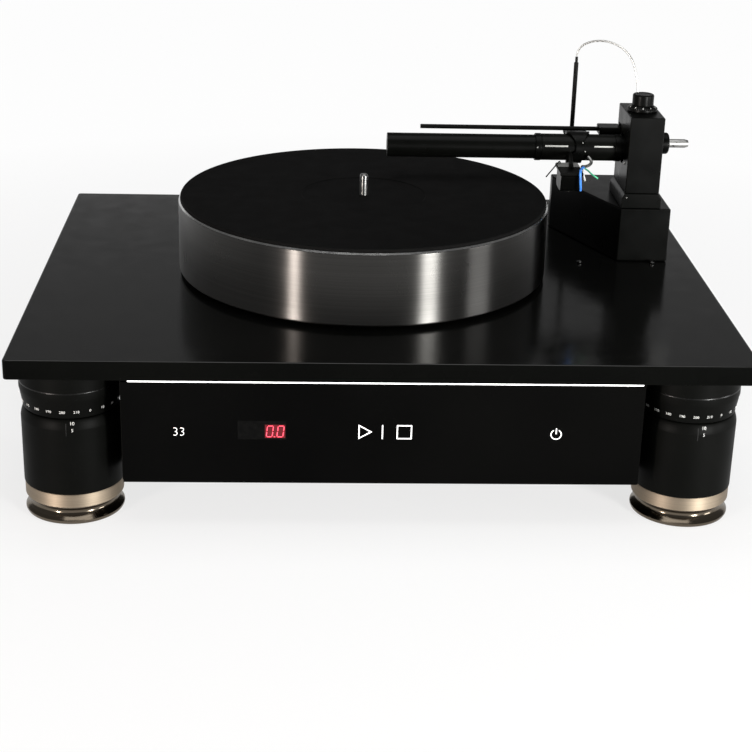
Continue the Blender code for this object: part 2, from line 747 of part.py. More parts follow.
def make_feet():
    for end, y in (("front", FOOT_Y), ("rear", -FOOT_Y)):
        for side, x in (("left", -FOOT_X), ("right", FOOT_X)):
            name = f"foot_{end}_{side}"
            centre = (x, y, 0)
            foot_ring(f"{name}_ring", centre)
            foot_body(f"{name}_body", centre)
            turned(f"{name}_band", disc(BAND_RADIUS, BAND_LOW_Z, BAND_TOP_Z, BAND_EDGE), FOOT_SEGMENTS,
                   champagne_metal(), centre)
            foot_base(f"{name}_base", centre)


def display_box(name, ease, overrun):
    half = DISPLAY_WIDTH / 2 + ease
    rise = DISPLAY_HEIGHT / 2 + ease
    low = (DISPLAY_X - half, CHASSIS_FRONT_Y - overrun, DISPLAY_Z - rise)
    high = (DISPLAY_X + half, CHASSIS_FRONT_Y + DISPLAY_DEPTH + overrun, DISPLAY_Z + rise)
    return block(name, low, high, red_display())


def lay_along_y(made, x, z):
    """Lays a piece turned about Z along Y, with its heights kept as places along Y."""
    for vertex in made.data.vertices:
        across, along, height = vertex.co
        vertex.co = (x + across, height, z - along)
    return made


def signal_places():
    for side, name in ((-1, "left"), (1, "right")):
        yield name, SIGNAL_X + side * SIGNAL_PITCH / 2


def make_chassis():
    wall = CHASSIS_WALL
    rear = CHASSIS_REAR_Y
    shell = block("chassis_shell", (-CHASSIS_HALF_WIDTH, CHASSIS_FRONT_Y, CHASSIS_LOW_Z),
                  (CHASSIS_HALF_WIDTH, rear, CHASSIS_TOP_Z), satin_black())
    room = block("chassis_room",
                 (-CHASSIS_HALF_WIDTH + wall, CHASSIS_FRONT_Y + wall, CHASSIS_LOW_Z - OVERRUN),
                 (CHASSIS_HALF_WIDTH - wall, rear - wall, CHASSIS_TOP_Z + OVERRUN), satin_black())
    cut(shell, room)
    cut(shell, display_box("display_window", BORE_GAP, OVERRUN))
    half = INLET_WIDTH / 2 + BORE_GAP
    rise = INLET_HEIGHT / 2 + BORE_GAP
    cut(shell, block("inlet_hole", (INLET_X - half, rear - wall - OVERRUN, SOCKET_Z - rise),
                     (INLET_X + half, rear + OVERRUN, SOCKET_Z + rise), satin_black()))
    for name, x in signal_places():
        hole = turned(f"signal_hole_{name}",
                      disc(SIGNAL_RADIUS + BORE_GAP, rear - wall - OVERRUN, rear + OVERRUN),
                      SMALL_SEGMENTS, satin_black())
        cut(shell, lay_along_y(hole, x, SOCKET_Z))
    inside = CHASSIS_HALF_WIDTH - wall - GAP
    block("bottom_cover", (-inside, CHASSIS_FRONT_Y + wall + GAP, CHASSIS_LOW_Z),
          (inside, rear - wall - GAP, CHASSIS_LOW_Z + COVER_THICKNESS), satin_black())


def make_front():
    half = CHASSIS_HALF_WIDTH - GLASS_SIDE
    light_low = CHASSIS_TOP_Z - LIGHT_HEIGHT
    block("front_glass", (-half, GLASS_Y, CHASSIS_LOW_Z), (half, GLASS_Y + GLASS_THICKNESS, light_low - GAP),
          gloss_black(), GLASS_EDGE, 1)
    block("light_bar", (LIGHT_LEFT_MARGIN - half, GLASS_Y - LIGHT_PROUD, light_low),
          (half - LIGHT_RIGHT_MARGIN, CHASSIS_FRONT_Y - GAP, CHASSIS_TOP_Z), white_light())
    display_box("display_module", 0, 0)


def make_platter():
    centre = (SPINDLE_X, SPINDLE_Y, 0)
    bore = SHAFT_RADIUS + BORE_GAP
    inner = PLATTER_RADIUS - PLATTER_RIM
    rim = PLATTER_RADIUS - PLATTER_EDGE
    platter = [(bore, PLATTER_WEB_Z), (inner, PLATTER_WEB_Z), (inner, PLATTER_LOW_Z), (rim, PLATTER_LOW_Z),
               (PLATTER_RADIUS, PLATTER_LOW_Z + PLATTER_EDGE), (PLATTER_RADIUS, PLATTER_TOP_Z - PLATTER_EDGE),
               (rim, PLATTER_TOP_Z), (bore, PLATTER_TOP_Z)]
    turned("platter", platter, PLATTER_SEGMENTS, bright_metal(), centre)
    mat_radius = PLATTER_RADIUS - MAT_INSET
    pin_bore = PIN_RADIUS + BORE_GAP
    mat = [(pin_bore, MAT_LOW_Z), (mat_radius, MAT_LOW_Z), (mat_radius, MAT_TOP_Z - MAT_EDGE),
           (mat_radius - MAT_EDGE, MAT_TOP_Z), (pin_bore, MAT_TOP_Z)]
    turned("platter_mat", mat, PLATTER_SEGMENTS, mat_rubber(), centre)
    sub = [(bore, SUB_LOW_Z), (SUB_RADIUS, SUB_LOW_Z), (SUB_RADIUS, SUB_TRACK_Z),
           (SUB_HUB_RADIUS, SUB_TRACK_Z),
           (SUB_HUB_RADIUS, SUB_TOP_Z), (bore, SUB_TOP_Z)]
    turned("sub_platter", sub, FOOT_SEGMENTS, brushed_metal(), centre)


def make_bearing():
    centre = (SPINDLE_X, SPINDLE_Y, 0)
    seat = SUB_LOW_Z - GAP
    collar = SHAFT_RADIUS + SHAFT_COLLAR_WIDTH
    pin_top = MAT_TOP_Z + PIN_RISE
    head = PIN_RADIUS + PIN_HEAD_WIDTH
    spindle = [(0, SHAFT_LOW_Z), (SHAFT_RADIUS, SHAFT_LOW_Z), (SHAFT_RADIUS, SHAFT_COLLAR_Z),
               (collar, SHAFT_COLLAR_Z),
               (collar, seat), (SHAFT_RADIUS, seat), (SHAFT_RADIUS, PLATTER_TOP_Z),
               (PIN_RADIUS, PLATTER_TOP_Z),
               (PIN_RADIUS, pin_top - PIN_HEAD_HEIGHT), (head, pin_top - PIN_HEAD_HEIGHT + PIN_HEAD_WIDTH)]
    spindle += arc(head - PIN_ROUND, pin_top - PIN_ROUND, PIN_ROUND, 0.0, math.pi / 2)
    spindle.append((0, pin_top))
    turned("spindle", spindle, SMALL_SEGMENTS, bright_metal(), centre)
    flange = HOUSING_RADIUS + HOUSING_FLANGE_WIDTH
    bore = SHAFT_RADIUS + BORE_GAP
    bore_low = SHAFT_LOW_Z - GAP
    housing = [(0, bore_low - HOUSING_FLOOR), (HOUSING_RADIUS, bore_low - HOUSING_FLOOR),
               (HOUSING_RADIUS, FLANGE_LOW_Z),
               (flange, FLANGE_LOW_Z), (flange, FLANGE_TOP_Z), (HOUSING_RADIUS, FLANGE_TOP_Z),
               (HOUSING_RADIUS, HOUSING_TOP_Z),
               (bore, HOUSING_TOP_Z), (bore, bore_low), (0, bore_low)]
    turned("bearing_housing", housing, MID_SEGMENTS, brushed_metal(), centre)


def belt_outline(hub_radius, pulley_radius):
    """The outline of a belt held taut round the inner platter and the pulley."""
    lean = math.acos((hub_radius - pulley_radius) / MOTOR_SPREAD)
    outline = []
    for step in range(FOOT_SEGMENTS + 1):
        angle = MOTOR_ANGLE + lean + (math.tau - 2 * lean) * step / FOOT_SEGMENTS
        outline.append((SPINDLE_X + hub_radius * math.cos(angle), SPINDLE_Y + hub_radius * math.sin(angle)))
    for step in range(TINY_SEGMENTS + 1):
        angle = MOTOR_ANGLE - lean + 2 * lean * step / TINY_SEGMENTS
        outline.append((MOTOR_X + pulley_radius * math.cos(angle), MOTOR_Y + pulley_radius * math.sin(angle)))
    return outline


def make_drive():
    centre = (MOTOR_X, MOTOR_Y, 0)
    motor_low = CHASSIS_TOP_Z - MOTOR_HEIGHT
    bore = MOTOR_SHAFT_RADIUS + BORE_GAP
    bore_low = CHASSIS_TOP_Z - MOTOR_SHAFT_DEPTH
    motor = [(0, motor_low), (MOTOR_RADIUS, motor_low), (MOTOR_RADIUS, CHASSIS_TOP_Z), (bore, CHASSIS_TOP_Z),
             (bore, bore_low), (0, bore_low)]
    turned("motor", motor, MID_SEGMENTS, brushed_metal(), centre)
    track_low = BELT_LOW_Z - GAP
    track_top = BELT_TOP_Z + GAP
    flange = PULLEY_RADIUS + PULLEY_FLANGE_WIDTH
    shaft_low = bore_low + GAP
    pulley = [(0, shaft_low), (MOTOR_SHAFT_RADIUS, shaft_low),
              (MOTOR_SHAFT_RADIUS, track_low - PULLEY_FLANGE_HEIGHT),
              (flange, track_low - PULLEY_FLANGE_HEIGHT), (flange, track_low),
              (PULLEY_RADIUS, track_low), (PULLEY_RADIUS, track_top),
              (flange, track_top), (flange, track_top + PULLEY_FLANGE_HEIGHT),
              (0, track_top + PULLEY_FLANGE_HEIGHT)]
    turned("motor_pulley", pulley, SMALL_SEGMENTS, brushed_metal(), centre)
    inner = belt_outline(SUB_RADIUS + GAP, PULLEY_RADIUS + GAP)
    outer = belt_outline(SUB_RADIUS + GAP + BELT_THICKNESS, PULLEY_RADIUS + GAP + BELT_THICKNESS)
    ring_prism("drive_belt", outer, inner, BELT_LOW_Z, BELT_TOP_Z, belt_rubber())


def make_power_supply():
    low = CHASSIS_LOW_Z + COVER_THICKNESS + GAP
    top = low + SUPPLY_HEIGHT
    profile = [(SUPPLY_HOLE_RADIUS, low), (SUPPLY_RADIUS - SUPPLY_EDGE, low),
               (SUPPLY_RADIUS, low + SUPPLY_EDGE),
               (SUPPLY_RADIUS, top - SUPPLY_EDGE), (SUPPLY_RADIUS - SUPPLY_EDGE, top),
               (SUPPLY_HOLE_RADIUS, top)]
    turned("power_supply", profile, MID_SEGMENTS, copper_winding(),
           (SUPPLY_X, CHASSIS_REAR_Y - SUPPLY_REAR_INSET, 0))


def make_power_inlet():
    inner = CHASSIS_REAR_Y - INLET_DEPTH
    face = CHASSIS_REAR_Y + GAP
    outer = face + INLET_RIM_DEPTH
    half = INLET_WIDTH / 2
    rise = INLET_HEIGHT / 2
    inlet = block("power_inlet", (INLET_X - half, inner, SOCKET_Z - rise),
                  (INLET_X + half, outer, SOCKET_Z + rise), satin_black())
    join(inlet, block("inlet_rim", (INLET_X - half - INLET_RIM, face, SOCKET_Z - rise - INLET_RIM),
                      (INLET_X + half + INLET_RIM, outer, SOCKET_Z + rise + INLET_RIM), satin_black()))
    half -= INLET_WALL
    rise -= INLET_WALL
    cut(inlet, block("inlet_room", (INLET_X - half, inner + INLET_WALL, SOCKET_Z - rise),
                     (INLET_X + half, outer + OVERRUN, SOCKET_Z + rise), satin_black()))


def make_signal_sockets():
    inner = CHASSIS_REAR_Y - SIGNAL_IN
    face = CHASSIS_REAR_Y + GAP
    tip = face + SIGNAL_OUT
    flange = SIGNAL_RADIUS + SIGNAL_FLANGE_WIDTH
    flange_y = face + SIGNAL_FLANGE_DEPTH
    floor = tip - SIGNAL_BORE_DEPTH
    profile = [(0, inner), (SIGNAL_RADIUS, inner), (SIGNAL_RADIUS, face), (flange, face),
               (flange, flange_y), (SIGNAL_RADIUS, flange_y),
               (SIGNAL_RADIUS, tip), (SIGNAL_BORE_RADIUS, tip), (SIGNAL_BORE_RADIUS, floor), (0, floor)]
    for name, x in signal_places():
        lay_along_y(turned(f"signal_socket_{name}", profile, SMALL_SEGMENTS, brushed_metal()), x, SOCKET_Z)


def make_arm_base():
    outline = ((ARM_BASE_RIGHT_X, TOWER_FRONT_Y), (ARM_BASE_RIGHT_X, ARM_BASE_BACK_Y),
               (ARM_BASE_LEFT_X, ARM_BASE_BACK_Y),
               (ARM_BASE_LEFT_X, ARM_BASE_BACK_Y - ARM_BASE_CORNER), (FOOT_BLOCK_LEFT_X, TOWER_FRONT_Y))
    base = prism("arm_base", outline, DECK_Z + GAP, ARM_BASE_TOP_Z, arm_black())
    round_edges(base, ARM_BASE_EDGE, 1, math.radians(20.0))


def make_base_screws():
    low = DECK_Z + GAP
    top = low + SCREW_HEIGHT
    floor = top - SCREW_SOCKET_DEPTH
    profile = [(0, low), (SCREW_RADIUS, low), (SCREW_RADIUS, top), (SCREW_SOCKET_RADIUS, top),
               (SCREW_SOCKET_RADIUS, floor), (0, floor)]
    y = TOWER_FRONT_Y - SCREW_FRONT
    turned("base_screw_left", profile, TINY_SEGMENTS, bright_metal(), (FOOT_BLOCK_LEFT_X - SCREW_LEFT, y, 0))
    turned("base_screw_right", profile, TINY_SEGMENTS, bright_metal(),
           (FOOT_BLOCK_LEFT_X + SCREW_RIGHT, y, 0))


def make_tower_foot():
    points = []
    for inset, height in ((0, FOOT_BLOCK_LOW_Z), (0, FOOT_BLOCK_TOP_Z - FOOT_BLOCK_CHAMFER),
                          (FOOT_BLOCK_SIDE, FOOT_BLOCK_TOP_Z)):
        left = FOOT_BLOCK_LEFT_X + inset
        right = FOOT_BLOCK_RIGHT_X - inset
        back = FOOT_BLOCK_BACK_Y - inset
        points += [(left, TOWER_FRONT_Y, height), (right, TOWER_FRONT_Y, height), (right, back, height),
                   (left, back, height)]
    faces = [[0, 1, 2, 3], [8, 9, 10, 11]]
    for level in (0, 4):
        for step in range(4):
            after = (step + 1) % 4
            faces.append([level + step, level + after, level + 4 + after, level + 4 + step])
    place_mesh("tower_foot", points, faces, arm_black())


def make_tower():
    wall = TOWER_WALL
    inner_left = TOWER_LEFT_X + wall
    inner_right = TOWER_RIGHT_X - wall
    tower = block("arm_tower", (TOWER_LEFT_X, TOWER_FRONT_Y, TOWER_LOW_Z),
                  (TOWER_RIGHT_X, TOWER_BACK_Y, TOWER_TOP_Z),
                  arm_black(), TOWER_EDGE, 1)
    cut(tower, block("tower_room", (inner_left, TOWER_FRONT_Y + wall, TOWER_LOW_Z - OVERRUN),
                     (inner_right, TOWER_BACK_Y - wall, TOWER_TOP_Z - TOWER_ROOF), arm_black()))
    travel = HEIGHT_TRAVEL + RUNNING_GAP
    left_wall = (TOWER_LEFT_X - OVERRUN, inner_left + OVERRUN)
    right_wall = (inner_right - OVERRUN, TOWER_RIGHT_X + OVERRUN)
    cut(tower,
        rounded_slot("bar_slot", BAR_RADIUS + RUNNING_GAP, travel, *left_wall, BAR_Y, BAR_Z, arm_black()))
    cut(tower,
        rounded_slot("collar_slot", COLLAR_RADIUS + RUNNING_GAP, travel, *right_wall, BAR_Y, COLLAR_Z,
                     arm_black()))
    side = TONGUE_HALF_WIDTH + RUNNING_GAP
    cut(tower, block("tongue_slot", (left_wall[0], RAIL_Y - side, HOLDER_LOW_Z - travel),
                     (left_wall[1], RAIL_Y + side, HOLDER_TOP_Z + travel), arm_black()))
    screw = disc(LEAD_SCREW_RADIUS + RUNNING_GAP, TOWER_TOP_Z - TOWER_ROOF - OVERRUN, TOWER_TOP_Z + OVERRUN)
    cut(tower, turned("screw_hole", screw, SMALL_SEGMENTS, arm_black(), (TOWER_X, BAR_Y, 0)))


def make_height_block():
    top = BAR_Z + BLOCK_ABOVE
    carrier = block("vta_block", (BLOCK_LEFT_X, BAR_Y - BLOCK_FRONT, BAR_Z - BLOCK_BELOW),
                    (BLOCK_RIGHT_X, BAR_Y + BLOCK_BACK, top), brushed_metal())
    bar_bore = disc(BAR_RADIUS + BORE_GAP, BLOCK_LEFT_X - OVERRUN, BAR_RIGHT_X + GAP)
    cut(carrier, turned("bar_bore", bar_bore, MID_SEGMENTS, brushed_metal(), (0, BAR_Y, BAR_Z), lying=True))
    screw_bore = disc(LEAD_SCREW_RADIUS + BORE_GAP, BAR_Z, top + OVERRUN)
    cut(carrier, turned("screw_bore", screw_bore, SMALL_SEGMENTS, brushed_metal(), (TOWER_X, BAR_Y, 0)))


def make_bar():
    floor = BAR_LEFT_X + BAR_BORE_DEPTH
    profile = [(0, BAR_RIGHT_X), (BAR_RADIUS, BAR_RIGHT_X), (BAR_RADIUS, BAR_LEFT_X),
               (BAR_BORE_RADIUS, BAR_LEFT_X),
               (BAR_BORE_RADIUS, floor), (0, floor)]
    turned("air_beam", profile, MID_SEGMENTS, arm_black(), (0, BAR_Y, BAR_Z), lying=True)


def make_air_inlet():
    centre = (0, BAR_Y, COLLAR_Z)
    collar = [(0, BLOCK_RIGHT_X + GAP), (COLLAR_RADIUS, BLOCK_RIGHT_X + GAP)]
    collar += arc(COLLAR_RADIUS - COLLAR_ROUND, COLLAR_END_X - COLLAR_ROUND, COLLAR_ROUND, 0.0, math.pi / 2)
    collar.append((0, COLLAR_END_X))
    turned("inlet_collar", collar, MID_SEGMENTS, arm_black(), centre, lying=True)
    root = COLLAR_END_X + GAP
    tip = root + NOZZLE_LENGTH
    nozzle = [(NOZZLE_BORE_RADIUS, root), (NOZZLE_RADIUS, root), (NOZZLE_RADIUS, tip - NOZZLE_BARB),
              (NOZZLE_RADIUS - NOZZLE_TAPER, tip), (NOZZLE_BORE_RADIUS, tip)]
    turned("air_nozzle", nozzle, SMALL_SEGMENTS, bright_metal(), centre, lying=True)


def make_knob():
    centre = (TOWER_X, BAR_Y, 0)
    dial_low = TOWER_TOP_Z + GAP
    dial_top = dial_low + DIAL_HEIGHT
    bore = LEAD_SCREW_RADIUS + BORE_GAP
    dial = [(bore, dial_low), (DIAL_RADIUS, dial_low), (DIAL_RADIUS, dial_low + DIAL_SKIRT),
            (KNOB_RADIUS, dial_top), (bore, dial_top)]
    turned("vta_dial", dial, MID_SEGMENTS, arm_black(), centre)
    low = dial_top + GAP
    top = low + KNOB_HEIGHT
    screw_low = BAR_Z + BAR_RADIUS + HEIGHT_TRAVEL + LEAD_SCREW_END_GAP
    knob = [(0, screw_low), (LEAD_SCREW_RADIUS, screw_low), (LEAD_SCREW_RADIUS, low), (KNOB_RADIUS, low),
            (KNOB_RADIUS, top - KNOB_EDGE), (KNOB_RADIUS - KNOB_EDGE, top), (0, top)]
    turned("vta_knob", knob, MID_SEGMENTS, arm_black(), centre)


def make_lift():
    holder = block("rail_holder", (HOLDER_LEFT_X, RAIL_Y - HOLDER_FRONT, HOLDER_LOW_Z),
                   (HOLDER_RIGHT_X, RAIL_Y + HOLDER_BACK, HOLDER_TOP_Z), arm_black(), HOLDER_EDGE, 1)
    join(holder,
         block("holder_tongue",
               (HOLDER_RIGHT_X - TONGUE_ROOT, RAIL_Y - TONGUE_HALF_WIDTH, HOLDER_LOW_Z + HOLDER_EDGE),
                       (BLOCK_LEFT_X - GAP, RAIL_Y + TONGUE_HALF_WIDTH, HOLDER_TOP_Z - HOLDER_EDGE),
                       arm_black()))
    lift = RAIL_TRAVEL / 2
    cut(holder,
        rounded_slot("rail_slot", RAIL_RADIUS + BORE_GAP, lift, HOLDER_LEFT_X - OVERRUN,
                     HOLDER_LEFT_X + RAIL_GRIP,
                             RAIL_Y, RAIL_Z + lift, arm_black()))
    rail = disc(RAIL_RADIUS, TOWER_LEFT_X - RAIL_REACH, HOLDER_LEFT_X + RAIL_GRIP - GAP)
    turned("lift_rail", rail, TINY_SEGMENTS, arm_black(), (0, RAIL_Y, RAIL_Z), lying=True)


def make_carriage():
    centre = (0, BAR_Y, BAR_Z)
    bore = BAR_RADIUS + BORE_GAP
    left = SLEEVE_LEFT_X + SLEEVE_COLLAR_WIDTH
    right = SLEEVE_RIGHT_X - SLEEVE_COLLAR_WIDTH
    collar = SLEEVE_RADIUS + SLEEVE_COLLAR_STEP
    turned("sleeve_collar_left", pipe(bore, collar, SLEEVE_LEFT_X, left), MID_SEGMENTS, arm_black(),
           centre, lying=True)
    turned("sleeve_collar_right", pipe(bore, collar, right, SLEEVE_RIGHT_X), MID_SEGMENTS, arm_black(),
           centre, lying=True)
    sleeve = turned("carriage_sleeve", pipe(bore, SLEEVE_RADIUS, left + GAP, right - GAP), MID_SEGMENTS,
                    arm_black(), centre, lying=True)
    front = BAR_Y - SLEEVE_RADIUS - OVERRUN
    low = BAR_Z + SLOT_RISE - SLOT_HALF_HEIGHT
    high = BAR_Z + SLOT_RISE + SLOT_HALF_HEIGHT
    slot_left = SLEEVE_LEFT_X + SLOT_MARGIN
    slot_right = SLEEVE_RIGHT_X - SLOT_MARGIN
    for name, start, end in (("left", slot_left, slot_left + SLOT_LEFT_LENGTH),
                             ("right", slot_right - SLOT_RIGHT_LENGTH, slot_right)):
        cut(sleeve,
            block(f"sleeve_slot_{name}", (start, front, low), (end, front + SLOT_REACH, high), arm_black()))


def strap_edges(turn):
    """The strap's left and right edges at a turn round the sleeve: 0 at the back, a quarter on top, a half in front."""
    back = (STRAP_X - STRAP_BACK, STRAP_X + STRAP_BACK)
    wide = (STRAP_X - STRAP_WIDE, STRAP_X + STRAP_WIDE)
    waist = (STRAP_X - STRAP_WAIST, STRAP_X + STRAP_WAIST)
    low = (STRAP_X - STRAP_LOW_LEFT, STRAP_X + STRAP_LOW_RIGHT)
    stops = list(zip(STRAP_TURN_SHARES, (back, wide, wide, waist, waist, low, low, back)))
    for (turn_before, before), (turn_after, after) in zip(stops, stops[1:]):
        if turn <= turn_after:
            part = (turn - turn_before) / (turn_after - turn_before)
            return [a + (b - a) * part for a, b in zip(before, after)]
    return back


def make_strap():
    points = []
    for step in range(STRAP_STEPS):
        left, right = strap_edges(step / STRAP_STEPS)
        angle = math.tau * step / STRAP_STEPS
        for x, radius in ((left, STRAP_RADIUS), (right, STRAP_RADIUS), (right, STRAP_BORE_RADIUS),
                          (left, STRAP_BORE_RADIUS)):
            points.append((x, BAR_Y + radius * math.cos(angle), BAR_Z + radius * math.sin(angle)))
    faces = []
    for step in range(STRAP_STEPS):
        near = 4 * step
        far = 4 * ((step + 1) % STRAP_STEPS)
        for corner in range(4):
            after = (corner + 1) % 4
            faces.append([near + corner, near + after, far + after, far + corner])
    strap = place_mesh("arm_bracket", points, faces, arm_black())
    top = RAIL_Z - RAIL_RADIUS - GAP
    low = top - TAIL_THICKNESS
    middle = (STRAP_BORE_RADIUS + STRAP_RADIUS) / 2
    root = BAR_Y + math.sqrt(middle ** 2 - ((top + low) / 2 - BAR_Z) ** 2)
    shoulder = root + TAIL_SHOULDER
    end = RAIL_Y + TAIL_END
    outline = ((STRAP_X - STRAP_BACK, root), (STRAP_X + STRAP_BACK, root), (STRAP_X + STRAP_WIDE, shoulder),
               (STRAP_X + STRAP_WIDE, end), (STRAP_X - STRAP_WIDE, end), (STRAP_X - STRAP_WIDE, shoulder))
    join(strap, prism("strap_tail", outline, low, top, arm_black()))


def from_stylus(route):
    """A route's places, counted from the stylus line on the headshell's top."""
    return [(STYLUS_X + x, SPINDLE_Y + y, SHELL_TOP_Z + z) for x, y, z in route]


def make_wand():
    back = BAR_Y - math.sqrt(STRAP_RADIUS ** 2 - WAND_DROP ** 2) - GAP
    route = ((STRAP_X - WAND_OFFSET, back, WAND_Z),
             (STYLUS_X + WAND_TOE_OFFSET, SPINDLE_Y + WAND_TOE, WAND_Z))
    swept("arm_wand", route, WAND_RADIUS, arm_black(), TINY_SEGMENTS)


def make_headshell():
    block("headshell", (SHELL_LEFT_X, SPINDLE_Y - SHELL_FRONT, SHELL_LOW_Z),
          (SHELL_RIGHT_X, SPINDLE_Y + SHELL_BACK, SHELL_TOP_Z),
          grey_plate(), SHELL_EDGE, 1)


def make_finger_lift():
    x = SHELL_LEFT_X + LIFT_ROOT
    y = SPINDLE_Y + SHELL_BACK - LIFT_ROOT
    low = SHELL_TOP_Z + GAP
    high = low + LIFT_RISE
    end = (x - LIFT_OUT, y - LIFT_FORWARD, high - LIFT_DROP)
    route = [(x, y, low)]
    for along, up in zip(LIFT_ALONG_SHARES, LIFT_UP_SHARES):
        route.append((x - LIFT_OUT * along, y - LIFT_FORWARD * along, low + LIFT_RISE * up))
    swept("finger_lift", route + [end], LIFT_WIRE_RADIUS, arm_black())


def make_leads():
    bent_tube("lead_tube", from_stylus(LEAD_TUBE_ROUTE), LEAD_TUBE_RADIUS, clear_wire())
    clip = swept("cartridge_leads", from_stylus(CLIP_ROUTE), CLIP_RADIUS, lead_plastic())
    for name, route in (("blue", BLUE_ROUTE), ("white", WHITE_ROUTE), ("green", GREEN_ROUTE)):
        join(clip, swept(f"lead_{name}", from_stylus(route), LEAD_RADIUS, lead_plastic(), 6))


def make_cartridge():
    top = SHELL_LOW_Z - GAP
    low = top - CARTRIDGE_HEIGHT
    front = SPINDLE_Y - CARTRIDGE_NOSE
    back = front + CARTRIDGE_LENGTH
    left = SHELL_LEFT_X + CARTRIDGE_SIDE
    right = SHELL_RIGHT_X - CARTRIDGE_SIDE
    side = ((front, top), (front + CARTRIDGE_CHIN_IN, low + CARTRIDGE_CHIN_HEIGHT),
            (front + CARTRIDGE_KEEL_IN, low),
            (back - CARTRIDGE_TAIL_IN, low), (back, low + CARTRIDGE_TAIL_HEIGHT), (back, top))
    count = len(side)
    points = [(left, y, z) for y, z in side] + [(right, y, z) for y, z in side]
    faces = [list(range(count)), list(range(count, 2 * count))]
    for step in range(count):
        after = (step + 1) % count
        faces.append([step, after, count + after, count + step])
    cartridge = place_mesh("cartridge", points, faces, arm_black())
    round_edges(cartridge, CARTRIDGE_EDGE, 1, math.radians(40.0))
    half = CONTACT_SIZE / 2
    for column, x in (("left", STYLUS_X - CONTACT_SPREAD / 2), ("right", STYLUS_X + CONTACT_SPREAD / 2)):
        for row, z in (("low", low + CONTACT_RISE), ("high", low + CONTACT_RISE + CONTACT_SPREAD)):
            join(cartridge, block(f"contact_{column}_{row}", (x - half, back - CONTACT_LENGTH, z - half),
                                  (x + half, back + CONTACT_LENGTH, z + half), bright_metal()))
    make_stylus(low - GAP)


def make_stylus(top):
    low = top - STYLUS_BODY_HEIGHT
    half = STYLUS_BODY_WIDTH / 2
    front = SPINDLE_Y - STYLUS_BODY_LEAD
    stylus = block("stylus", (STYLUS_X - half, front, low),
                   (STYLUS_X + half, front + STYLUS_BODY_LENGTH, top), bright_metal())
    tip_z = low - STYLUS_DROP
    tip = [(0, tip_z), (STYLUS_TIP_RADIUS, tip_z), (STYLUS_ROOT_RADIUS, low + STYLUS_SINK),
           (0, low + STYLUS_SINK)]
    join(stylus, turned("stylus_tip", tip, TINY_SEGMENTS, bright_metal(), (STYLUS_X, SPINDLE_Y, 0)))


def make_mast():
    knee = MAST_LOW_Z + MAST_HEIGHT
    tip = knee + MAST_TIP_HEIGHT
    profile = [(0, MAST_LOW_Z), (MAST_RADIUS, MAST_LOW_Z), (MAST_RADIUS, knee), (MAST_TIP_RADIUS, knee),
               (MAST_TIP_RADIUS, tip), (0, tip)]
    turned("wire_mast", profile, TINY_SEGMENTS, arm_black(), (MAST_X, MAST_Y, 0))
    route = [(MAST_X + x, MAST_Y + y, tip + z) for x, y, z in WIRE_ROUTE]
    bent_tube("signal_wire", route, WIRE_RADIUS, clear_wire())


def main():
    clear_scene()
    make_plinth()
    make_feet()
    make_chassis()
    make_front()
    make_platter()
    make_bearing()
    make_drive()
    make_power_supply()
    make_power_inlet()
    make_signal_sockets()
    make_arm_base()
    make_base_screws()
    make_tower_foot()
    make_tower()
    make_height_block()
    make_bar()
    make_air_inlet()
    make_knob()
    make_lift()
    make_carriage()
    make_strap()
    make_wand()
    make_headshell()
    make_finger_lift()
    make_leads()
    make_cartridge()
    make_mast()


main()
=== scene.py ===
"""Looks of the record player: its finishes and fine pieces, with the floor, lamps and camera."""
import math

import bpy
from mathutils import Matrix, Vector


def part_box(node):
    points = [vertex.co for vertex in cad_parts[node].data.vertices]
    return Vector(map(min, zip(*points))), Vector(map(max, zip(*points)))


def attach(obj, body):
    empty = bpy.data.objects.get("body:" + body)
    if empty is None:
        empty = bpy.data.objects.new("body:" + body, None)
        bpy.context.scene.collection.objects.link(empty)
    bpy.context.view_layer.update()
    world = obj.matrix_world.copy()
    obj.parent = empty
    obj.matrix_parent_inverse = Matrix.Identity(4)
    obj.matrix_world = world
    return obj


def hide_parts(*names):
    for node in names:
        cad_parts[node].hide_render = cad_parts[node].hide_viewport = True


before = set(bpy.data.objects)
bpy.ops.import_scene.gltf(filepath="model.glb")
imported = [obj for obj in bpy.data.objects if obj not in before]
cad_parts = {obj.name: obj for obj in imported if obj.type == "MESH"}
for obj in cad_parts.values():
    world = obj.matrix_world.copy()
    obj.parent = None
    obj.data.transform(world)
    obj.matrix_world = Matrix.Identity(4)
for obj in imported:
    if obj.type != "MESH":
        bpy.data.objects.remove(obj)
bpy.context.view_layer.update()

MM = 0.001

# Places that the pieces share, in metres
SPINDLE = (-0.0107, 0.0022)
GLASS_FRONT = -0.2085
BAR_Y = 0.0545
STYLUS_X = 0.157
SHELL_TOP = 0.2185
TOWER_X = 0.2228
FEET = {
    "front_left": (-0.2295, -0.1715),
    "front_right": (0.2295, -0.1715),
    "rear_left": (-0.2295, 0.1715),
    "rear_right": (0.2295, 0.1715),
}

# Fine measures that come back, in metres
MERGE_GAP = 0.000002
MARK_DEPTH = 0.00012
MARK_LIFT = 0.00006
STROKE_THINNING = 0.00003


# Camera, at the photograph's angle
def set_camera():
    """The camera's place and turn, worked out from the photograph's perspective."""
    data = bpy.data.cameras.new("camera")
    data.sensor_width = 36.0
    data.lens = 79.99
    data.clip_start = 0.05
    data.clip_end = 60.0
    camera = bpy.data.objects.new("camera", data)
    bpy.context.scene.collection.objects.link(camera)
    place = (-0.059124, -1.314254, 0.570391)
    yaw, pitch, roll = 0.0474, 0.3858, 0.0265
    turn = Matrix.Rotation(-yaw, 4, "Z") @ Matrix.Rotation(math.pi / 2 - pitch, 4, "X")
    turn = turn @ Matrix.Rotation(roll, 4, "Z")
    camera.matrix_world = Matrix.Translation(place) @ turn
    bpy.context.scene.camera = camera


set_camera()


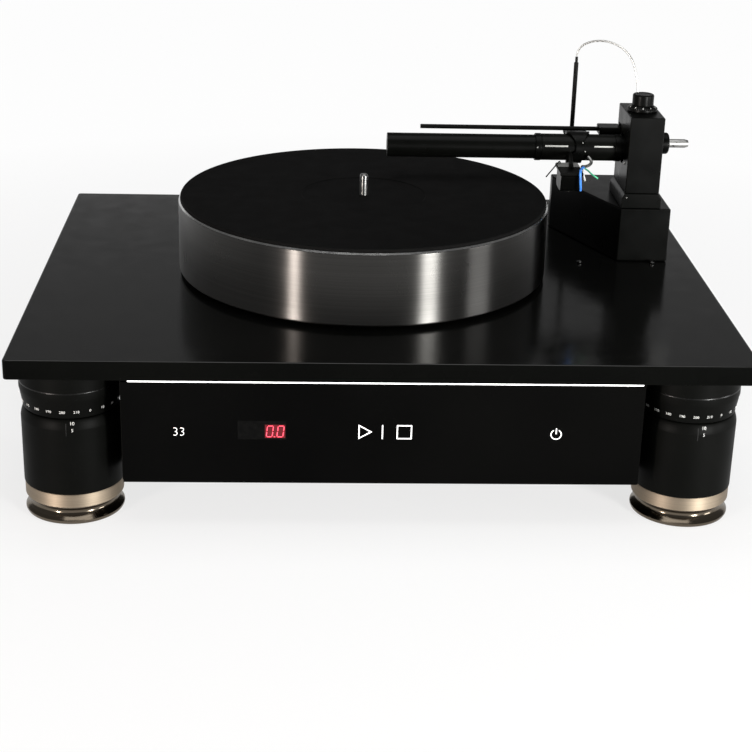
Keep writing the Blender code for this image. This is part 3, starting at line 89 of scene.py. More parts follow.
# Work at the bench
def take_up(piece):
    """Makes one piece the only one selected."""
    bpy.ops.object.select_all(action="DESELECT")
    piece.select_set(True)
    bpy.context.view_layer.objects.active = piece


def set_down(piece, place, turn=(0, 0, 0)):
    """Puts a piece in its place and turn, and keeps both in its mesh."""
    take_up(piece)
    piece.location = place
    piece.rotation_euler = turn
    bpy.ops.object.transform_apply(location=True, rotation=True, scale=True)


def smooth(piece, angle=40):
    """Shades a piece smoothly, but for the edges that turn by more than an angle."""
    take_up(piece)
    bpy.ops.object.shade_smooth_by_angle(angle=math.radians(angle))


def break_edges(piece, width, rounds=2, angle=35):
    """Rounds the sharp edges of a piece, and keeps its flat faces flat."""
    take_up(piece)
    bevel = piece.modifiers.new("edges", "BEVEL")
    bevel.width = width
    bevel.segments = rounds
    bevel.limit_method = "ANGLE"
    bevel.angle_limit = math.radians(angle)
    bpy.ops.object.modifier_apply(modifier="edges")
    bpy.ops.object.shade_smooth()
    weight = piece.modifiers.new("weight", "WEIGHTED_NORMAL")
    weight.keep_sharp = True
    bpy.ops.object.modifier_apply(modifier="weight")


def turned(name, profile, place=(0, 0, 0), steps=96, ring=False, edge=0.0003, rounds=2):
    """A turned piece: a line of (radius, height) points is drawn from one vertex and spun.

    A ring's line comes back to its first point.
    """
    bpy.ops.object.select_all(action="DESELECT")
    radius, height = profile[0]
    bpy.ops.mesh.primitive_plane_add(size=MM, location=(radius, 0, height))
    piece = bpy.context.object
    piece.name = name
    bpy.ops.object.transform_apply(location=True)
    bpy.ops.object.mode_set(mode="EDIT")
    bpy.ops.mesh.select_mode(type="VERT")
    bpy.ops.mesh.select_all(action="SELECT")
    bpy.ops.mesh.merge(type="CENTER")
    line = list(profile) + ([profile[0]] if ring else [])
    for (near, low), (far, high) in zip(line, line[1:]):
        bpy.ops.mesh.extrude_vertices_move(TRANSFORM_OT_translate={"value": (far - near, 0, high - low)})
    bpy.ops.mesh.select_all(action="SELECT")
    bpy.ops.mesh.spin(steps=steps, angle=math.tau, center=(0, 0, 0), axis=(0, 0, 1))
    bpy.ops.mesh.select_all(action="SELECT")
    bpy.ops.mesh.remove_doubles(threshold=MERGE_GAP)
    bpy.ops.mesh.normals_make_consistent(inside=False)
    bpy.ops.object.mode_set(mode="OBJECT")
    set_down(piece, place)
    if edge:
        break_edges(piece, edge, rounds)
    else:
        smooth(piece)
    return piece


def block(name, low, high, edge=0.0004, rounds=2):
    """A squared piece between two corners, with its edges broken."""
    bpy.ops.object.select_all(action="DESELECT")
    middle = [(a + b) / 2 for a, b in zip(low, high)]
    size = [b - a for a, b in zip(low, high)]
    bpy.ops.mesh.primitive_cube_add(size=1, location=middle, scale=size)
    piece = bpy.context.object
    piece.name = name
    bpy.ops.object.transform_apply(location=True, rotation=True, scale=True)
    if edge:
        break_edges(piece, edge, rounds)
    return piece


def refined(node, edge):
    """A finer copy of a node, merged, with its sharp edges broken."""
    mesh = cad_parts[node].data.copy()
    piece = bpy.data.objects.new(f"{node}_fine", mesh)
    bpy.context.scene.collection.objects.link(piece)
    take_up(piece)
    bpy.ops.mesh.customdata_custom_splitnormals_clear()
    bpy.ops.object.mode_set(mode="EDIT")
    bpy.ops.mesh.select_all(action="SELECT")
    bpy.ops.mesh.remove_doubles(threshold=MERGE_GAP)
    bpy.ops.mesh.dissolve_limited(angle_limit=math.radians(1.0))
    bpy.ops.object.mode_set(mode="OBJECT")
    if edge:
        break_edges(piece, edge)
    else:
        smooth(piece, 35)
    return piece


def merged(name, pieces):
    """Several pieces joined into one."""
    take_up(pieces[0])
    for piece in pieces:
        piece.select_set(True)
    bpy.ops.object.join()
    pieces[0].name = name
    return pieces[0]


def copied(piece, name, shift):
    """A copy of a piece with its own mesh, moved by shift."""
    again = bpy.data.objects.new(name, piece.data.copy())
    bpy.context.scene.collection.objects.link(again)
    set_down(again, shift)
    return again


def fit(piece, body, finish, slot, *nodes):
    """Gives a piece its finish and its body, in place of the nodes that it stands for."""
    piece.data.materials.clear()
    piece.data.materials.append(finish)
    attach(piece, body)
    if nodes:
        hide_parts(*nodes)


def dress(node, edge, body, finish, slot):
    """Puts a finer copy of a node in its place."""
    fit(refined(node, edge), body, finish, slot, node)


def pick_out(piece, kind, wanted):
    """Opens a piece for work on its mesh, with only the wanted edges or faces selected."""
    take_up(piece)
    bpy.ops.object.mode_set(mode="EDIT")
    bpy.ops.mesh.select_mode(type=kind)
    bpy.ops.mesh.select_all(action="DESELECT")
    bpy.ops.object.mode_set(mode="OBJECT")
    for part in piece.data.edges if kind == "EDGE" else piece.data.polygons:
        part.select = wanted(part)
    bpy.ops.object.mode_set(mode="EDIT")


def lettering(name, words, size, thin=0.0):
    """Plain figures as a thin mesh, upright and facing the front, with their strokes thinned."""
    bpy.ops.object.select_all(action="DESELECT")
    bpy.ops.object.text_add(location=(0, 0, 0))
    piece = bpy.context.object
    piece.name = name
    piece.data.body = words
    piece.data.size = size
    piece.data.align_x = "CENTER"
    piece.data.align_y = "CENTER"
    piece.data.resolution_u = 3
    piece.data.extrude = MARK_DEPTH / 2
    piece.data.offset = -thin
    bpy.ops.object.convert(target="MESH")
    return bpy.context.object


def wire_curve(name, route, radius, sides, closed=False):
    """A round wire through its route, as a curve of one open or closed spline."""
    curve = bpy.data.curves.new(name, "CURVE")
    curve.dimensions = "3D"
    curve.bevel_depth = radius
    curve.bevel_resolution = sides
    curve.use_fill_caps = not closed
    line = curve.splines.new("POLY")
    line.points.add(len(route) - 1)
    for point, place in zip(line.points, route):
        point.co = (*place, 1.0)
    line.use_cyclic_u = closed
    piece = bpy.data.objects.new(name, curve)
    bpy.context.scene.collection.objects.link(piece)
    return piece


def wire_mesh(name, route, radius, closed=False, sides=2):
    """A thin wire along its route, as a mesh."""
    piece = wire_curve(name, route, radius, sides, closed)
    take_up(piece)
    bpy.ops.object.convert(target="MESH")
    piece = bpy.context.object
    smooth(piece, 60)
    return piece


def wrapped(piece, centre, low, high, turn):
    """Lays a flat mark round an upright axis: its middle at a turn, on the slope from low to high."""
    slope_r, slope_z = high[0] - low[0], high[1] - low[1]
    size = math.hypot(slope_r, slope_z)
    middle = (low[0] + high[0]) / 2
    for vertex in piece.data.vertices:
        across, up, out = vertex.co
        along = 0.5 + up / size
        radius = low[0] + slope_r * along + MARK_LIFT + out * slope_z / size
        height = low[1] + slope_z * along - out * slope_r / size
        angle = turn + across / middle
        vertex.co = (centre[0] + radius * math.sin(angle), centre[1] - radius * math.cos(angle), height)


def stud(name, place, radius, turn):
    """The end of a grub screw, with its small socket."""
    profile = [(0, 0.00008), (radius * 0.4, 0.00008), (radius * 0.45, 0.0002), (radius * 0.85, 0.0002),
               (radius, 0.00012), (radius, -0.0002), (0, -0.0002)]
    end = turned(name, profile, steps=24, edge=0)
    set_down(end, place, turn)
    return end


def screw_head(name, place, radius, turn=(0, 0, 0)):
    """A turned pan head with a socket of six sides."""
    profile = [(0, radius * 0.9), (radius * 0.7, radius * 0.9), (radius, radius * 0.6), (radius, 0), (0, 0)]
    head = turned(name, profile, steps=32, edge=radius * 0.06)
    above = (0, 0, radius)
    bpy.ops.mesh.primitive_cylinder_add(vertices=6, radius=radius * 0.5, depth=radius, location=above)
    socket = bpy.context.object
    take_up(head)
    hollow = head.modifiers.new("socket", "BOOLEAN")
    hollow.operation = "DIFFERENCE"
    hollow.solver = "EXACT"
    hollow.object = socket
    bpy.ops.object.modifier_apply(modifier="socket")
    bpy.data.objects.remove(socket)
    smooth(head, 35)
    set_down(head, place, turn)
    return head


# Finishes
def new_finish(name, colour, roughness, metal, shine=0.5):
    """A finish with its plain values, and its shader."""
    finish = bpy.data.materials.new(name)
    finish.use_nodes = True
    shader = finish.node_tree.nodes["Principled BSDF"]
    shader.inputs["Base Color"].default_value = (*colour, 1)
    shader.inputs["Roughness"].default_value = roughness
    shader.inputs["Metallic"].default_value = metal
    shader.inputs["Specular IOR Level"].default_value = shine
    return finish, shader


def joined(finish, source, target):
    """Joins one shader value to another."""
    finish.node_tree.links.new(source, target)


def grain(finish, scale, detail, stretch=(1, 1, 1)):
    """A noise pattern in the piece's own coordinates."""
    nodes = finish.node_tree.nodes
    place = nodes.new("ShaderNodeTexCoord")
    mapping = nodes.new("ShaderNodeMapping")
    mapping.inputs["Scale"].default_value = stretch
    joined(finish, place.outputs["Object"], mapping.inputs["Vector"])
    noise = nodes.new("ShaderNodeTexNoise")
    noise.inputs["Scale"].default_value = scale
    noise.inputs["Detail"].default_value = detail
    joined(finish, mapping.outputs["Vector"], noise.inputs["Vector"])
    return noise.outputs["Fac"]


def spread(finish, source, low, high, target):
    """Leads a pattern to a value, between low and high."""
    node = finish.node_tree.nodes.new("ShaderNodeMapRange")
    node.inputs["From Min"].default_value = 0.3
    node.inputs["From Max"].default_value = 0.7
    node.inputs["To Min"].default_value = low
    node.inputs["To Max"].default_value = high
    joined(finish, source, node.inputs["Value"])
    joined(finish, node.outputs["Result"], target)


def two_tone(finish, source, dark, light, target, start=0.35, end=0.65):
    """Leads a pattern to a colour, from dark to light."""
    ramp = finish.node_tree.nodes.new("ShaderNodeValToRGB")
    ramp.color_ramp.elements[0].position = start
    ramp.color_ramp.elements[0].color = (*dark, 1)
    ramp.color_ramp.elements[1].position = end
    ramp.color_ramp.elements[1].color = (*light, 1)
    joined(finish, source, ramp.inputs["Fac"])
    joined(finish, ramp.outputs["Color"], target)


def relief(finish, source, depth, shader, strength):
    """Leads a pattern to the surface's relief."""
    bump = finish.node_tree.nodes.new("ShaderNodeBump")
    bump.inputs["Distance"].default_value = depth
    bump.inputs["Strength"].default_value = strength
    joined(finish, source, bump.inputs["Height"])
    joined(finish, bump.outputs["Normal"], shader.inputs["Normal"])


def worn_edges(finish, shader, light):
    """Paint rubbed a little paler where the surface turns sharply."""
    nodes = finish.node_tree.nodes
    surface = nodes.new("ShaderNodeNewGeometry")
    wear = nodes.new("ShaderNodeMapRange")
    wear.inputs["From Min"].default_value = 0.53
    wear.inputs["From Max"].default_value = 0.62
    wear.inputs["To Max"].default_value = 0.7
    joined(finish, surface.outputs["Pointiness"], wear.inputs["Value"])
    mix = nodes.new("ShaderNodeMix")
    mix.data_type = "RGBA"
    joined(finish, wear.outputs["Result"], mix.inputs["Factor"])
    joined(finish, shader.inputs["Base Color"].links[0].from_socket, mix.inputs["A"])
    mix.inputs["B"].default_value = (*[3.0 * c for c in light], 1)
    joined(finish, mix.outputs["Result"], shader.inputs["Base Color"])


def brushed(finish, shader, amount):
    """Fine turning marks round the upright axis, so that lights draw out across them."""
    tangent = finish.node_tree.nodes.new("ShaderNodeTangent")
    tangent.direction_type = "RADIAL"
    tangent.axis = "Z"
    joined(finish, tangent.outputs["Tangent"], shader.inputs["Tangent"])
    shader.inputs["Anisotropic"].default_value = amount
    shader.inputs["Anisotropic Rotation"].default_value = 0.25


def satin_paint(name, dark, light, low, high, shine):
    """Satin paint: cloudy tones, a roughness from low to high and a fine skin."""
    finish, shader = new_finish(name, light, low, 0.0, shine)
    two_tone(finish, grain(finish, 9.0, 4.0), dark, light, shader.inputs["Base Color"])
    spread(finish, grain(finish, 60.0, 5.0), low, high, shader.inputs["Roughness"])
    relief(finish, grain(finish, 2600.0, 2.0), 0.00002, shader, 0.35)
    worn_edges(finish, shader, light)
    return finish


def turned_metal(name, dark, light, roughness, amount, lines=5200.0):
    """Metal with fine turning lines one above the other, brushed by an amount."""
    finish, shader = new_finish(name, light, roughness, 1.0)
    marks = grain(finish, 1.0, 3.0, (3.0, 3.0, lines))
    two_tone(finish, marks, dark, light, shader.inputs["Base Color"], 0.3, 0.7)
    spread(finish, grain(finish, 24.0, 4.0), roughness * 0.92, roughness * 1.08, shader.inputs["Roughness"])
    relief(finish, marks, 0.000004, shader, 0.25)
    if amount:
        brushed(finish, shader, amount)
    return finish


def plain_metal(name, dark, light, roughness):
    """Metal without a direction, a little clouded."""
    finish, shader = new_finish(name, light, roughness, 1.0)
    two_tone(finish, grain(finish, 35.0, 4.0), dark, light, shader.inputs["Base Color"])
    spread(finish, grain(finish, 180.0, 4.0), roughness * 0.8, roughness * 1.25, shader.inputs["Roughness"])
    relief(finish, grain(finish, 3000.0, 2.0), 0.000006, shader, 0.2)
    return finish


def gloss_glass():
    """Black glass, polished, with faint smears."""
    finish, shader = new_finish("gloss_glass", (0.0022, 0.0022, 0.0022), 0.04, 0.0, 0.022)
    two_tone(finish, grain(finish, 5.0, 3.0), (0.0007, 0.0007, 0.0007), (0.0015, 0.0015, 0.0014),
             shader.inputs["Base Color"])
    spread(finish, grain(finish, 45.0, 6.0), 0.03, 0.09, shader.inputs["Roughness"])
    return finish


def mat_rubber():
    """Fine grained matt rubber."""
    finish, shader = new_finish("mat_rubber", (0.003, 0.003, 0.003), 0.85, 0.0, 0.05)
    two_tone(finish, grain(finish, 700.0, 4.0), (0.0022, 0.0022, 0.0022), (0.0036, 0.0035, 0.0034),
             shader.inputs["Base Color"])
    spread(finish, grain(finish, 60.0, 4.0), 0.80, 0.88, shader.inputs["Roughness"])
    relief(finish, grain(finish, 1800.0, 3.0), 0.00006, shader, 0.5)
    return finish


def lit(name, colour, strength, scale):
    """A surface that gives light, a little uneven as a row of small lamps is."""
    finish, shader = new_finish(name, colour, 0.35, 0.0, 0.3)
    shader.inputs["Emission Color"].default_value = (*colour, 1)
    shader.inputs["Emission Strength"].default_value = strength
    dim = [c * 0.82 for c in colour]
    two_tone(finish, grain(finish, scale, 2.0), dim, colour, shader.inputs["Emission Color"], 0.3, 0.6)
    return finish


def plastic(name, dark, light, roughness=0.4, shine=0.4):
    """Plastic, rubber or print with a fine grain."""
    finish, shader = new_finish(name, light, roughness, 0.0, shine)
    two_tone(finish, grain(finish, 300.0, 3.0), dark, light, shader.inputs["Base Color"])
    spread(finish, grain(finish, 900.0, 3.0), roughness * 0.8, roughness * 1.2, shader.inputs["Roughness"])
    return finish


def wire_sheath():
    """Clear sheath over tinned strands: fine slanting bands."""
    finish, shader = new_finish("wire_sheath", (0.72, 0.72, 0.70), 0.28, 0.7, 0.5)
    nodes = finish.node_tree.nodes
    place = nodes.new("ShaderNodeTexCoord")
    bands = nodes.new("ShaderNodeTexWave")
    bands.bands_direction = "DIAGONAL"
    bands.inputs["Scale"].default_value = 420.0
    joined(finish, place.outputs["Object"], bands.inputs["Vector"])
    dark, light = (0.42, 0.42, 0.40), (0.86, 0.86, 0.84)
    two_tone(finish, bands.outputs["Fac"], dark, light, shader.inputs["Base Color"])
    relief(finish, bands.outputs["Fac"], 0.00008, shader, 0.4)
    return finish


deck_paint = satin_paint("deck_paint", (0.0018, 0.0019, 0.0017), (0.0032, 0.0033, 0.0030), 0.12, 0.18, 0.30)
# The plinth's sides take a darker copy of the deck's paint: painted shade on the sides.
shaded_side_paint = satin_paint("shaded_side_paint", (0.0008, 0.0009, 0.0008), (0.0014, 0.0015, 0.0013), 0.24, 0.32, 0.02)
foot_paint = satin_paint("foot_paint", (0.0010, 0.0011, 0.0009), (0.0020, 0.0021, 0.0018), 0.42, 0.50, 0.035)
arm_paint = satin_paint("arm_paint", (0.0006, 0.0007, 0.0006), (0.0014, 0.0015, 0.0013), 0.27, 0.35, 0.06)
# A pale grey for the headshell's rear top: a painted highlight where the top catches the light.
shell_highlight_paint = satin_paint("shell_highlight_paint", (0.060, 0.060, 0.058), (0.100, 0.100, 0.097), 0.30, 0.40, 0.30)
glass_black = gloss_glass()
rubber_black = mat_rubber()
platter_metal = turned_metal("platter_metal", (0.047, 0.046, 0.044), (0.068, 0.066, 0.063), 0.29, 0.985)
band_metal = turned_metal("band_metal", (0.258, 0.211, 0.158), (0.358, 0.296, 0.224), 0.63, 0.74, 4200.0)
base_metal = turned_metal("base_metal", (0.100, 0.082, 0.060), (0.150, 0.126, 0.098), 0.16, 0.3, 3000.0)
pin_steel = plain_metal("pin_steel", (0.62, 0.60, 0.57), (0.80, 0.78, 0.75), 0.16)
nozzle_steel = plain_metal("nozzle_steel", (0.26, 0.26, 0.25), (0.38, 0.38, 0.37), 0.42)
machined_metal = turned_metal("machined_metal", (0.42, 0.42, 0.41), (0.56, 0.56, 0.55), 0.34, 0.5, 2600.0)
inlay_metal = plain_metal("inlay_metal", (0.26, 0.26, 0.25), (0.42, 0.42, 0.40), 0.42)
copper_wire = turned_metal("copper_wire", (0.42, 0.16, 0.06), (0.70, 0.32, 0.15), 0.30, 0.0, 1400.0)
belt_black = plastic("belt_black", (0.010, 0.010, 0.010), (0.020, 0.020, 0.019), 0.6)
led_white = lit("led_white", (1.0, 1.0, 1.0), 1.25, 220.0)
mark_white = lit("mark_white", (0.86, 0.86, 0.86), 0.95, 900.0)
digit_red = lit("digit_red", (1.0, 0.075, 0.120), 1.0, 900.0)
digit_glow = lit("digit_glow", (0.055, 0.0008, 0.0030), 1.0, 400.0)
print_white = plastic("print_white", (0.50, 0.50, 0.49), (0.72, 0.72, 0.70), 0.5)
print_grey = plastic("print_grey", (0.030, 0.030, 0.030), (0.050, 0.050, 0.048), 0.5)
print_dim = plastic("print_dim", (0.012, 0.012, 0.012), (0.020, 0.020, 0.020), 0.5, 0.1)
lip_black = plastic("lip_black", (0.0012, 0.0012, 0.0011), (0.0024, 0.0024, 0.0022), 0.26, 0.24)
screw_black = plain_metal("screw_black", (0.030, 0.030, 0.030), (0.070, 0.070, 0.068), 0.24)
rim_metal = plain_metal("rim_metal", (0.30, 0.30, 0.30), (0.42, 0.42, 0.41), 0.24)
spindle_metal = turned_metal("spindle_metal", (0.16, 0.16, 0.155), (0.24, 0.24, 0.235), 0.30, 0.9)
window_dark = plastic("window_dark", (0.0015, 0.0015, 0.0015), (0.0026, 0.0026, 0.0025), 0.10, 0.04)
silver_wire = wire_sheath()
lead_blue = plastic("lead_blue", (0.02, 0.12, 0.44), (0.05, 0.24, 0.72))
lead_white = plastic("lead_white", (0.62, 0.62, 0.60), (0.80, 0.80, 0.78))
lead_green = plastic("lead_green", (0.04, 0.30, 0.16), (0.08, 0.48, 0.26))
moulded_black = plastic("moulded_black", (0.010, 0.010, 0.010), (0.022, 0.021, 0.020), 0.45)
socket_red = plastic("socket_red", (0.35, 0.02, 0.015), (0.50, 0.04, 0.03))
socket_white = plastic("socket_white", (0.60, 0.60, 0.58), (0.76, 0.76, 0.74))


# Cords: the arm's signal wire, and the silver tube that brings the leads down to the headshell
def round_cord(name, route, radius, finish):
    """A smooth cord of one open spline through its route."""
    piece = wire_curve(name, route, radius, 5)
    piece.data.materials.append(finish)
    return piece


def eased(route, steps):
    """The route's points with rounded turns between them, through every point."""
    places = [Vector(p) for p in route]
    padded = [2 * places[0] - places[1]] + places + [2 * places[-1] - places[-2]]
    line = []
    for before, near, far, after in zip(padded, padded[1:], padded[2:], padded[3:]):
        for step in range(steps):
            t = step / steps
            square = (2 * before - 5 * near + 4 * far - after) * t ** 2
            cube = (3 * near - before - 3 * far + after) * t ** 3
            line.append(0.5 * (2 * near + (far - before) * t + square + cube))
    return line + [places[-1]]


def cords():
    """Both cords, from the places of their centre lines."""
    tip = Vector((0.1747, 0.1165, 0.2875))
    steps = ((0.0000, 0.0000, 0.0012), (0.0007, -0.0007, 0.0050), (0.0033, -0.0025, 0.0095),
             (0.0065, -0.0048, 0.0123), (0.0121, -0.0092, 0.0152), (0.0200, -0.0155, 0.0168),
             (0.0270, -0.0209, 0.0160), (0.0330, -0.0258, 0.0137), (0.0379, -0.0296, 0.0098),
             (0.0415, -0.0324, 0.0050), (0.0442, -0.0345, -0.0015), (0.0465, -0.0364, -0.0105),
             (0.0478, -0.0375, -0.0195), (0.0480, -0.0380, -0.0306))
    route = eased([tip + Vector(step) for step in steps], 2)
    wire = round_cord("signal_wire_sheath", route, 0.0009, silver_wire)
    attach(wire, "frame")
    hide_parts("signal_wire")
    start = Vector((STYLUS_X, SPINDLE[1], SHELL_TOP))
    steps = ((0.0208, 0.0393, 0.0003), (0.0230, 0.0363, -0.0023), (0.0225, 0.0328, -0.0038),
             (0.0195, 0.0283, -0.0045), (0.0155, 0.0228, -0.0039), (0.0130, 0.0173, -0.0025),
             (0.0120, 0.0123, -0.0013))
    route = eased([start + Vector(step) for step in steps], 3)
    tube = round_cord("lead_tube_silver", route, 0.0013, nozzle_steel)
    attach(tube, "arm")
    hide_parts("lead_tube")


cords()


# Plinth
def plinth():
    """The top plate, with rounded corners, and its sides in a darker, duller copy of the top's paint: painted
    shade.
    """
    low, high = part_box("plinth_plate")
    plate = block("plinth_top", low, high, 0)

    def upright(edge):
        near, far = (plate.data.vertices[v].co for v in edge.vertices)
        return abs(near.z - far.z) > 0.01

    pick_out(plate, "EDGE", upright)
    bpy.ops.mesh.bevel(offset=0.003, segments=5, affect="EDGES")
    bpy.ops.object.mode_set(mode="OBJECT")
    break_edges(plate, 0.0011, 3, 60)
    fit(plate, "frame", deck_paint, "satin_black", "plinth_plate")
    # Faces that are not tops take the darker copy of the paint: painted shade on the sides.
    plate.data.materials.append(shaded_side_paint)
    for side in plate.data.polygons:
        side.material_index = 0 if side.normal.z > 0.6 else 1


# Feet, with the outlines of their pieces from the axis outwards
FOOT_RING = [(0.0131, 0.1169), (0.0368, 0.1169), (0.0372, 0.1165), (0.0372, 0.1050), (0.0375, 0.1040),
             (0.0375, 0.0990), (0.0371, 0.0976), (0.0351, 0.0851), (0.0346, 0.0845), (0.0131, 0.0845)]
FOOT_LIP = [(0.0366, 0.1040), (0.0375, 0.1040), (0.0375, 0.1044), (0.0371, 0.1052), (0.0366, 0.1052)]
FOOT_COLUMN = [(0, 0.0245), (0.0370, 0.0245), (0.0370, 0.0252), (0.0370, 0.0756), (0.0370, 0.0763),
               (0.0366, 0.0785), (0.0358, 0.0811), (0.0350, 0.0829), (0.0344, 0.0836), (0.0338, 0.0839),
               (0.0128, 0.0840), (0.0128, 0.1169), (0, 0.1169)]
FOOT_BAND = [(0, 0.0137), (0.0361, 0.0137), (0.0365, 0.0141), (0.0365, 0.0238), (0.0361, 0.0242), (0, 0.0242)]
FOOT_BASE = [(0, 0), (0.0345, 0), (0.0362, 0.0006), (0.0368, 0.0018), (0.0367, 0.0030), (0.0352, 0.0044),
             (0.0331, 0.0058), (0.0319, 0.0072), (0.0315, 0.0086), (0.0317, 0.0100), (0.0328, 0.0113),
             (0.0345, 0.0123), (0.0358, 0.0130), (0.0358, 0.0134), (0, 0.0134)]


def foot(name, x, y):
    """A foot: the levelling ring with its lip, on the column, the band and the base."""
    centre = (x, y, 0)
    dial = f"foot_{name}_dial"
    ring = turned(f"foot_{name}_ring_fine", FOOT_RING, centre, ring=True, edge=0.00018)
    fit(ring, dial, foot_paint, "satin_black", f"foot_{name}_ring")
    lip = turned(f"foot_{name}_lip", FOOT_LIP, centre, ring=True, edge=0.00012)
    fit(lip, dial, lip_black, "satin_black")
    column = turned(f"foot_{name}_body_fine", FOOT_COLUMN, centre, rounds=3)
    fit(column, "frame", foot_paint, "satin_black", f"foot_{name}_body")
    band = turned(f"foot_{name}_band_fine", FOOT_BAND, centre, edge=0.00015)
    fit(band, "frame", band_metal, "champagne_metal", f"foot_{name}_band")
    base = turned(f"foot_{name}_base_fine", FOOT_BASE, centre, edge=0)
    fit(base, "frame", base_metal, "dark_chrome", f"foot_{name}_base")


RING_FIGURES = 22
INDEX_FIGURES = (("10", (0.0364, 0.0793), (0.0352, 0.0825)), ("5", (0.0370, 0.0744), (0.0369, 0.0777)))
INDEX_LINE = (((0.0370, 0.0718), (0.0370, 0.0763)), ((0.0370, 0.0763), (0.0366, 0.0785)),
              ((0.0366, 0.0785), (0.0358, 0.0811)))


def foot_marks():
    """Twenty-two figures round each ring, and the index figures and line on the column below."""
    x, y = FEET["front_left"]
    figures = []
    for step in range(RING_FIGURES):
        figure = lettering("figure", str(10 * step), 0.0030, STROKE_THINNING)
        turn = math.radians(360 * step / RING_FIGURES + 30)
        wrapped(figure, (x, y), (0.0356, 0.0882), (0.0361, 0.0912), turn)
        figures.append(figure)
    ring = merged("ring_figures_front_left", figures)
    figures = []
    for words, low, high in INDEX_FIGURES:
        figure = lettering("figure", words, 0.0035, STROKE_THINNING)
        wrapped(figure, (x, y), low, high, math.radians(8))
        figures.append(figure)
    index = merged("index_figures_front_left", figures)
    parts = []
    for low, high in INDEX_LINE:
        half = math.hypot(high[0] - low[0], high[1] - low[1]) / 2
        part = block("line", (-0.0002, -half, 0), (0.0002, half, 0.00008), 0)
        wrapped(part, (x, y), low, high, math.radians(1))
        parts.append(part)
    line = merged("index_line_front_left", parts)
    for name, (there_x, there_y) in FEET.items():
        shift = (there_x - x, there_y - y, 0)
        for first, kind, body, finish in ((ring, "ring_figures", f"foot_{name}_dial", print_white),
                                          (index, "index_figures", "frame", print_white),
                                          (line, "index_line", "frame", print_dim)):
            marks = first if name == "front_left" else copied(first, f"{kind}_{name}", shift)
            fit(marks, body, finish, "satin_black")


# Glass front and what shows through it
def outline_mark(name, sides, radius, width, place, turn):
    """A flat outlined shape: a polygon, inset, with its middle taken out, facing the front."""
    bpy.ops.object.select_all(action="DESELECT")
    bpy.ops.mesh.primitive_circle_add(vertices=sides, radius=radius, fill_type="NGON")
    piece = bpy.context.object
    piece.name = name
    bpy.ops.object.mode_set(mode="EDIT")
    bpy.ops.mesh.select_mode(type="FACE")
    bpy.ops.mesh.select_all(action="SELECT")
    bpy.ops.mesh.inset(thickness=width)
    bpy.ops.mesh.delete(type="FACE")
    bpy.ops.mesh.select_all(action="SELECT")
    bpy.ops.mesh.extrude_region_move(TRANSFORM_OT_translate={"value": (0, 0, MARK_DEPTH)})
    bpy.ops.mesh.select_all(action="SELECT")
    bpy.ops.mesh.normals_make_consistent(inside=False)
    bpy.ops.object.mode_set(mode="OBJECT")
    set_down(piece, (0, 0, 0), (0, 0, turn))
    set_down(piece, place, (math.pi / 2, 0, 0))
    return piece


def front_marks():
    """The speed figures and the start, stop and power signs, lit through the glass."""
    face = GLASS_FRONT - 0.00002
    sign_z = 0.0770
    speed = lettering("speed_figures", "33", 0.0096, 0.00024)
    set_down(speed, (-0.1480, face, 0.0758), (math.pi / 2, 0, 0))
    fit(speed, "frame", mark_white, "white_light")
    start = outline_mark("start_mark", 3, 0.0066, 0.0008, (-0.0150, face, sign_z), -math.pi / 2)
    stop = outline_mark("stop_mark", 4, 0.0078, 0.0008, (0.0150, face, sign_z), math.pi / 4)
    slash = block("slash", (-0.0013, face - MARK_DEPTH, 0.0715), (-0.0005, face, 0.0825), 0)
    fit(merged("start_stop_marks", [start, stop, slash]), "frame", mark_white, "white_light")
    power_x, power_z = 0.1258, 0.0760
    ring = outline_mark("power_ring", 48, 0.0041, 0.0007, (power_x, face, power_z), 0)
    pick_out(ring, "FACE", lambda side: abs(side.center.x - power_x) < 0.0018 and side.center.z > power_z)
    bpy.ops.mesh.delete(type="FACE")
    bpy.ops.object.mode_set(mode="OBJECT")
    bar = block("power_bar", (0.1254, face - MARK_DEPTH, 0.0763), (0.1262, face, 0.0808), 0)
    fit(merged("power_mark", [ring, bar]), "frame", mark_white, "white_light")


# Bars of a nought: across and up, as shares of its width and height, and whether a bar lies flat
NOUGHT_BARS = (
    (0.0, 1.0, True),
    (0.0, 0.0, True),
    (-0.5, 0.75, False),
    (0.5, 0.75, False),
    (-0.5, 0.25, False),
    (0.5, 0.25, False),
)


def digit_bar(x, z, long, flat):
    """One bar of a digit: a slim block."""
    half = 0.00030
    wide, tall = (long, half) if flat else (half, long)
    low = (x - wide, GLASS_FRONT - 0.00018, z - tall)
    high = (x + wide, GLASS_FRONT - 0.0001, z + tall)
    return block("bar", low, high, 0)


def display():
    """The number display: two noughts and a point, leaning a little, on their faint glow."""
    near = (-0.1056, GLASS_FRONT - 0.00006, 0.0705)
    far = (-0.0707, GLASS_FRONT + 0.0002, 0.0850)
    fit(block("display_window", near, far, 0.00002, 1), "frame", window_dark, "gloss_black")
    wide, tall, low = 0.0043, 0.0084, 0.0727
    margin = 0.0010
    near = (-0.0860, GLASS_FRONT - 0.00009, low - margin)
    far = (-0.0713, GLASS_FRONT - 0.00005, low + tall + margin)
    fit(block("display_glow", near, far, 0), "frame", digit_glow, "red_display")
    bars = []
    for centre in (-0.0829, -0.0752):
        for across, up, flat in NOUGHT_BARS:
            long = wide * 0.40 if flat else tall * 0.20
            bars.append(digit_bar(centre + across * wide, low + up * tall, long, flat))
    bars.append(digit_bar(-0.0791, low, 0.00050, True))
    digits = merged("display_digits", bars)
    lean = 0.12
    for vertex in digits.data.vertices:
        vertex.co.x += (vertex.co.z - low) * lean
    fit(digits, "frame", digit_red, "red_display")


def front():
    """The glass, the light line over it, and the marks and display behind it."""
    glass = block("front_glass_fine", *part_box("front_glass"), 0.0004, 3)
    fit(glass, "frame", glass_black, "gloss_black", "front_glass")
    low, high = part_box("light_bar")
    bar = block("light_line", low, high, 0.0006, 3)
    fit(bar, "frame", led_white, "white_light", "light_bar")
    front_marks()
    display()


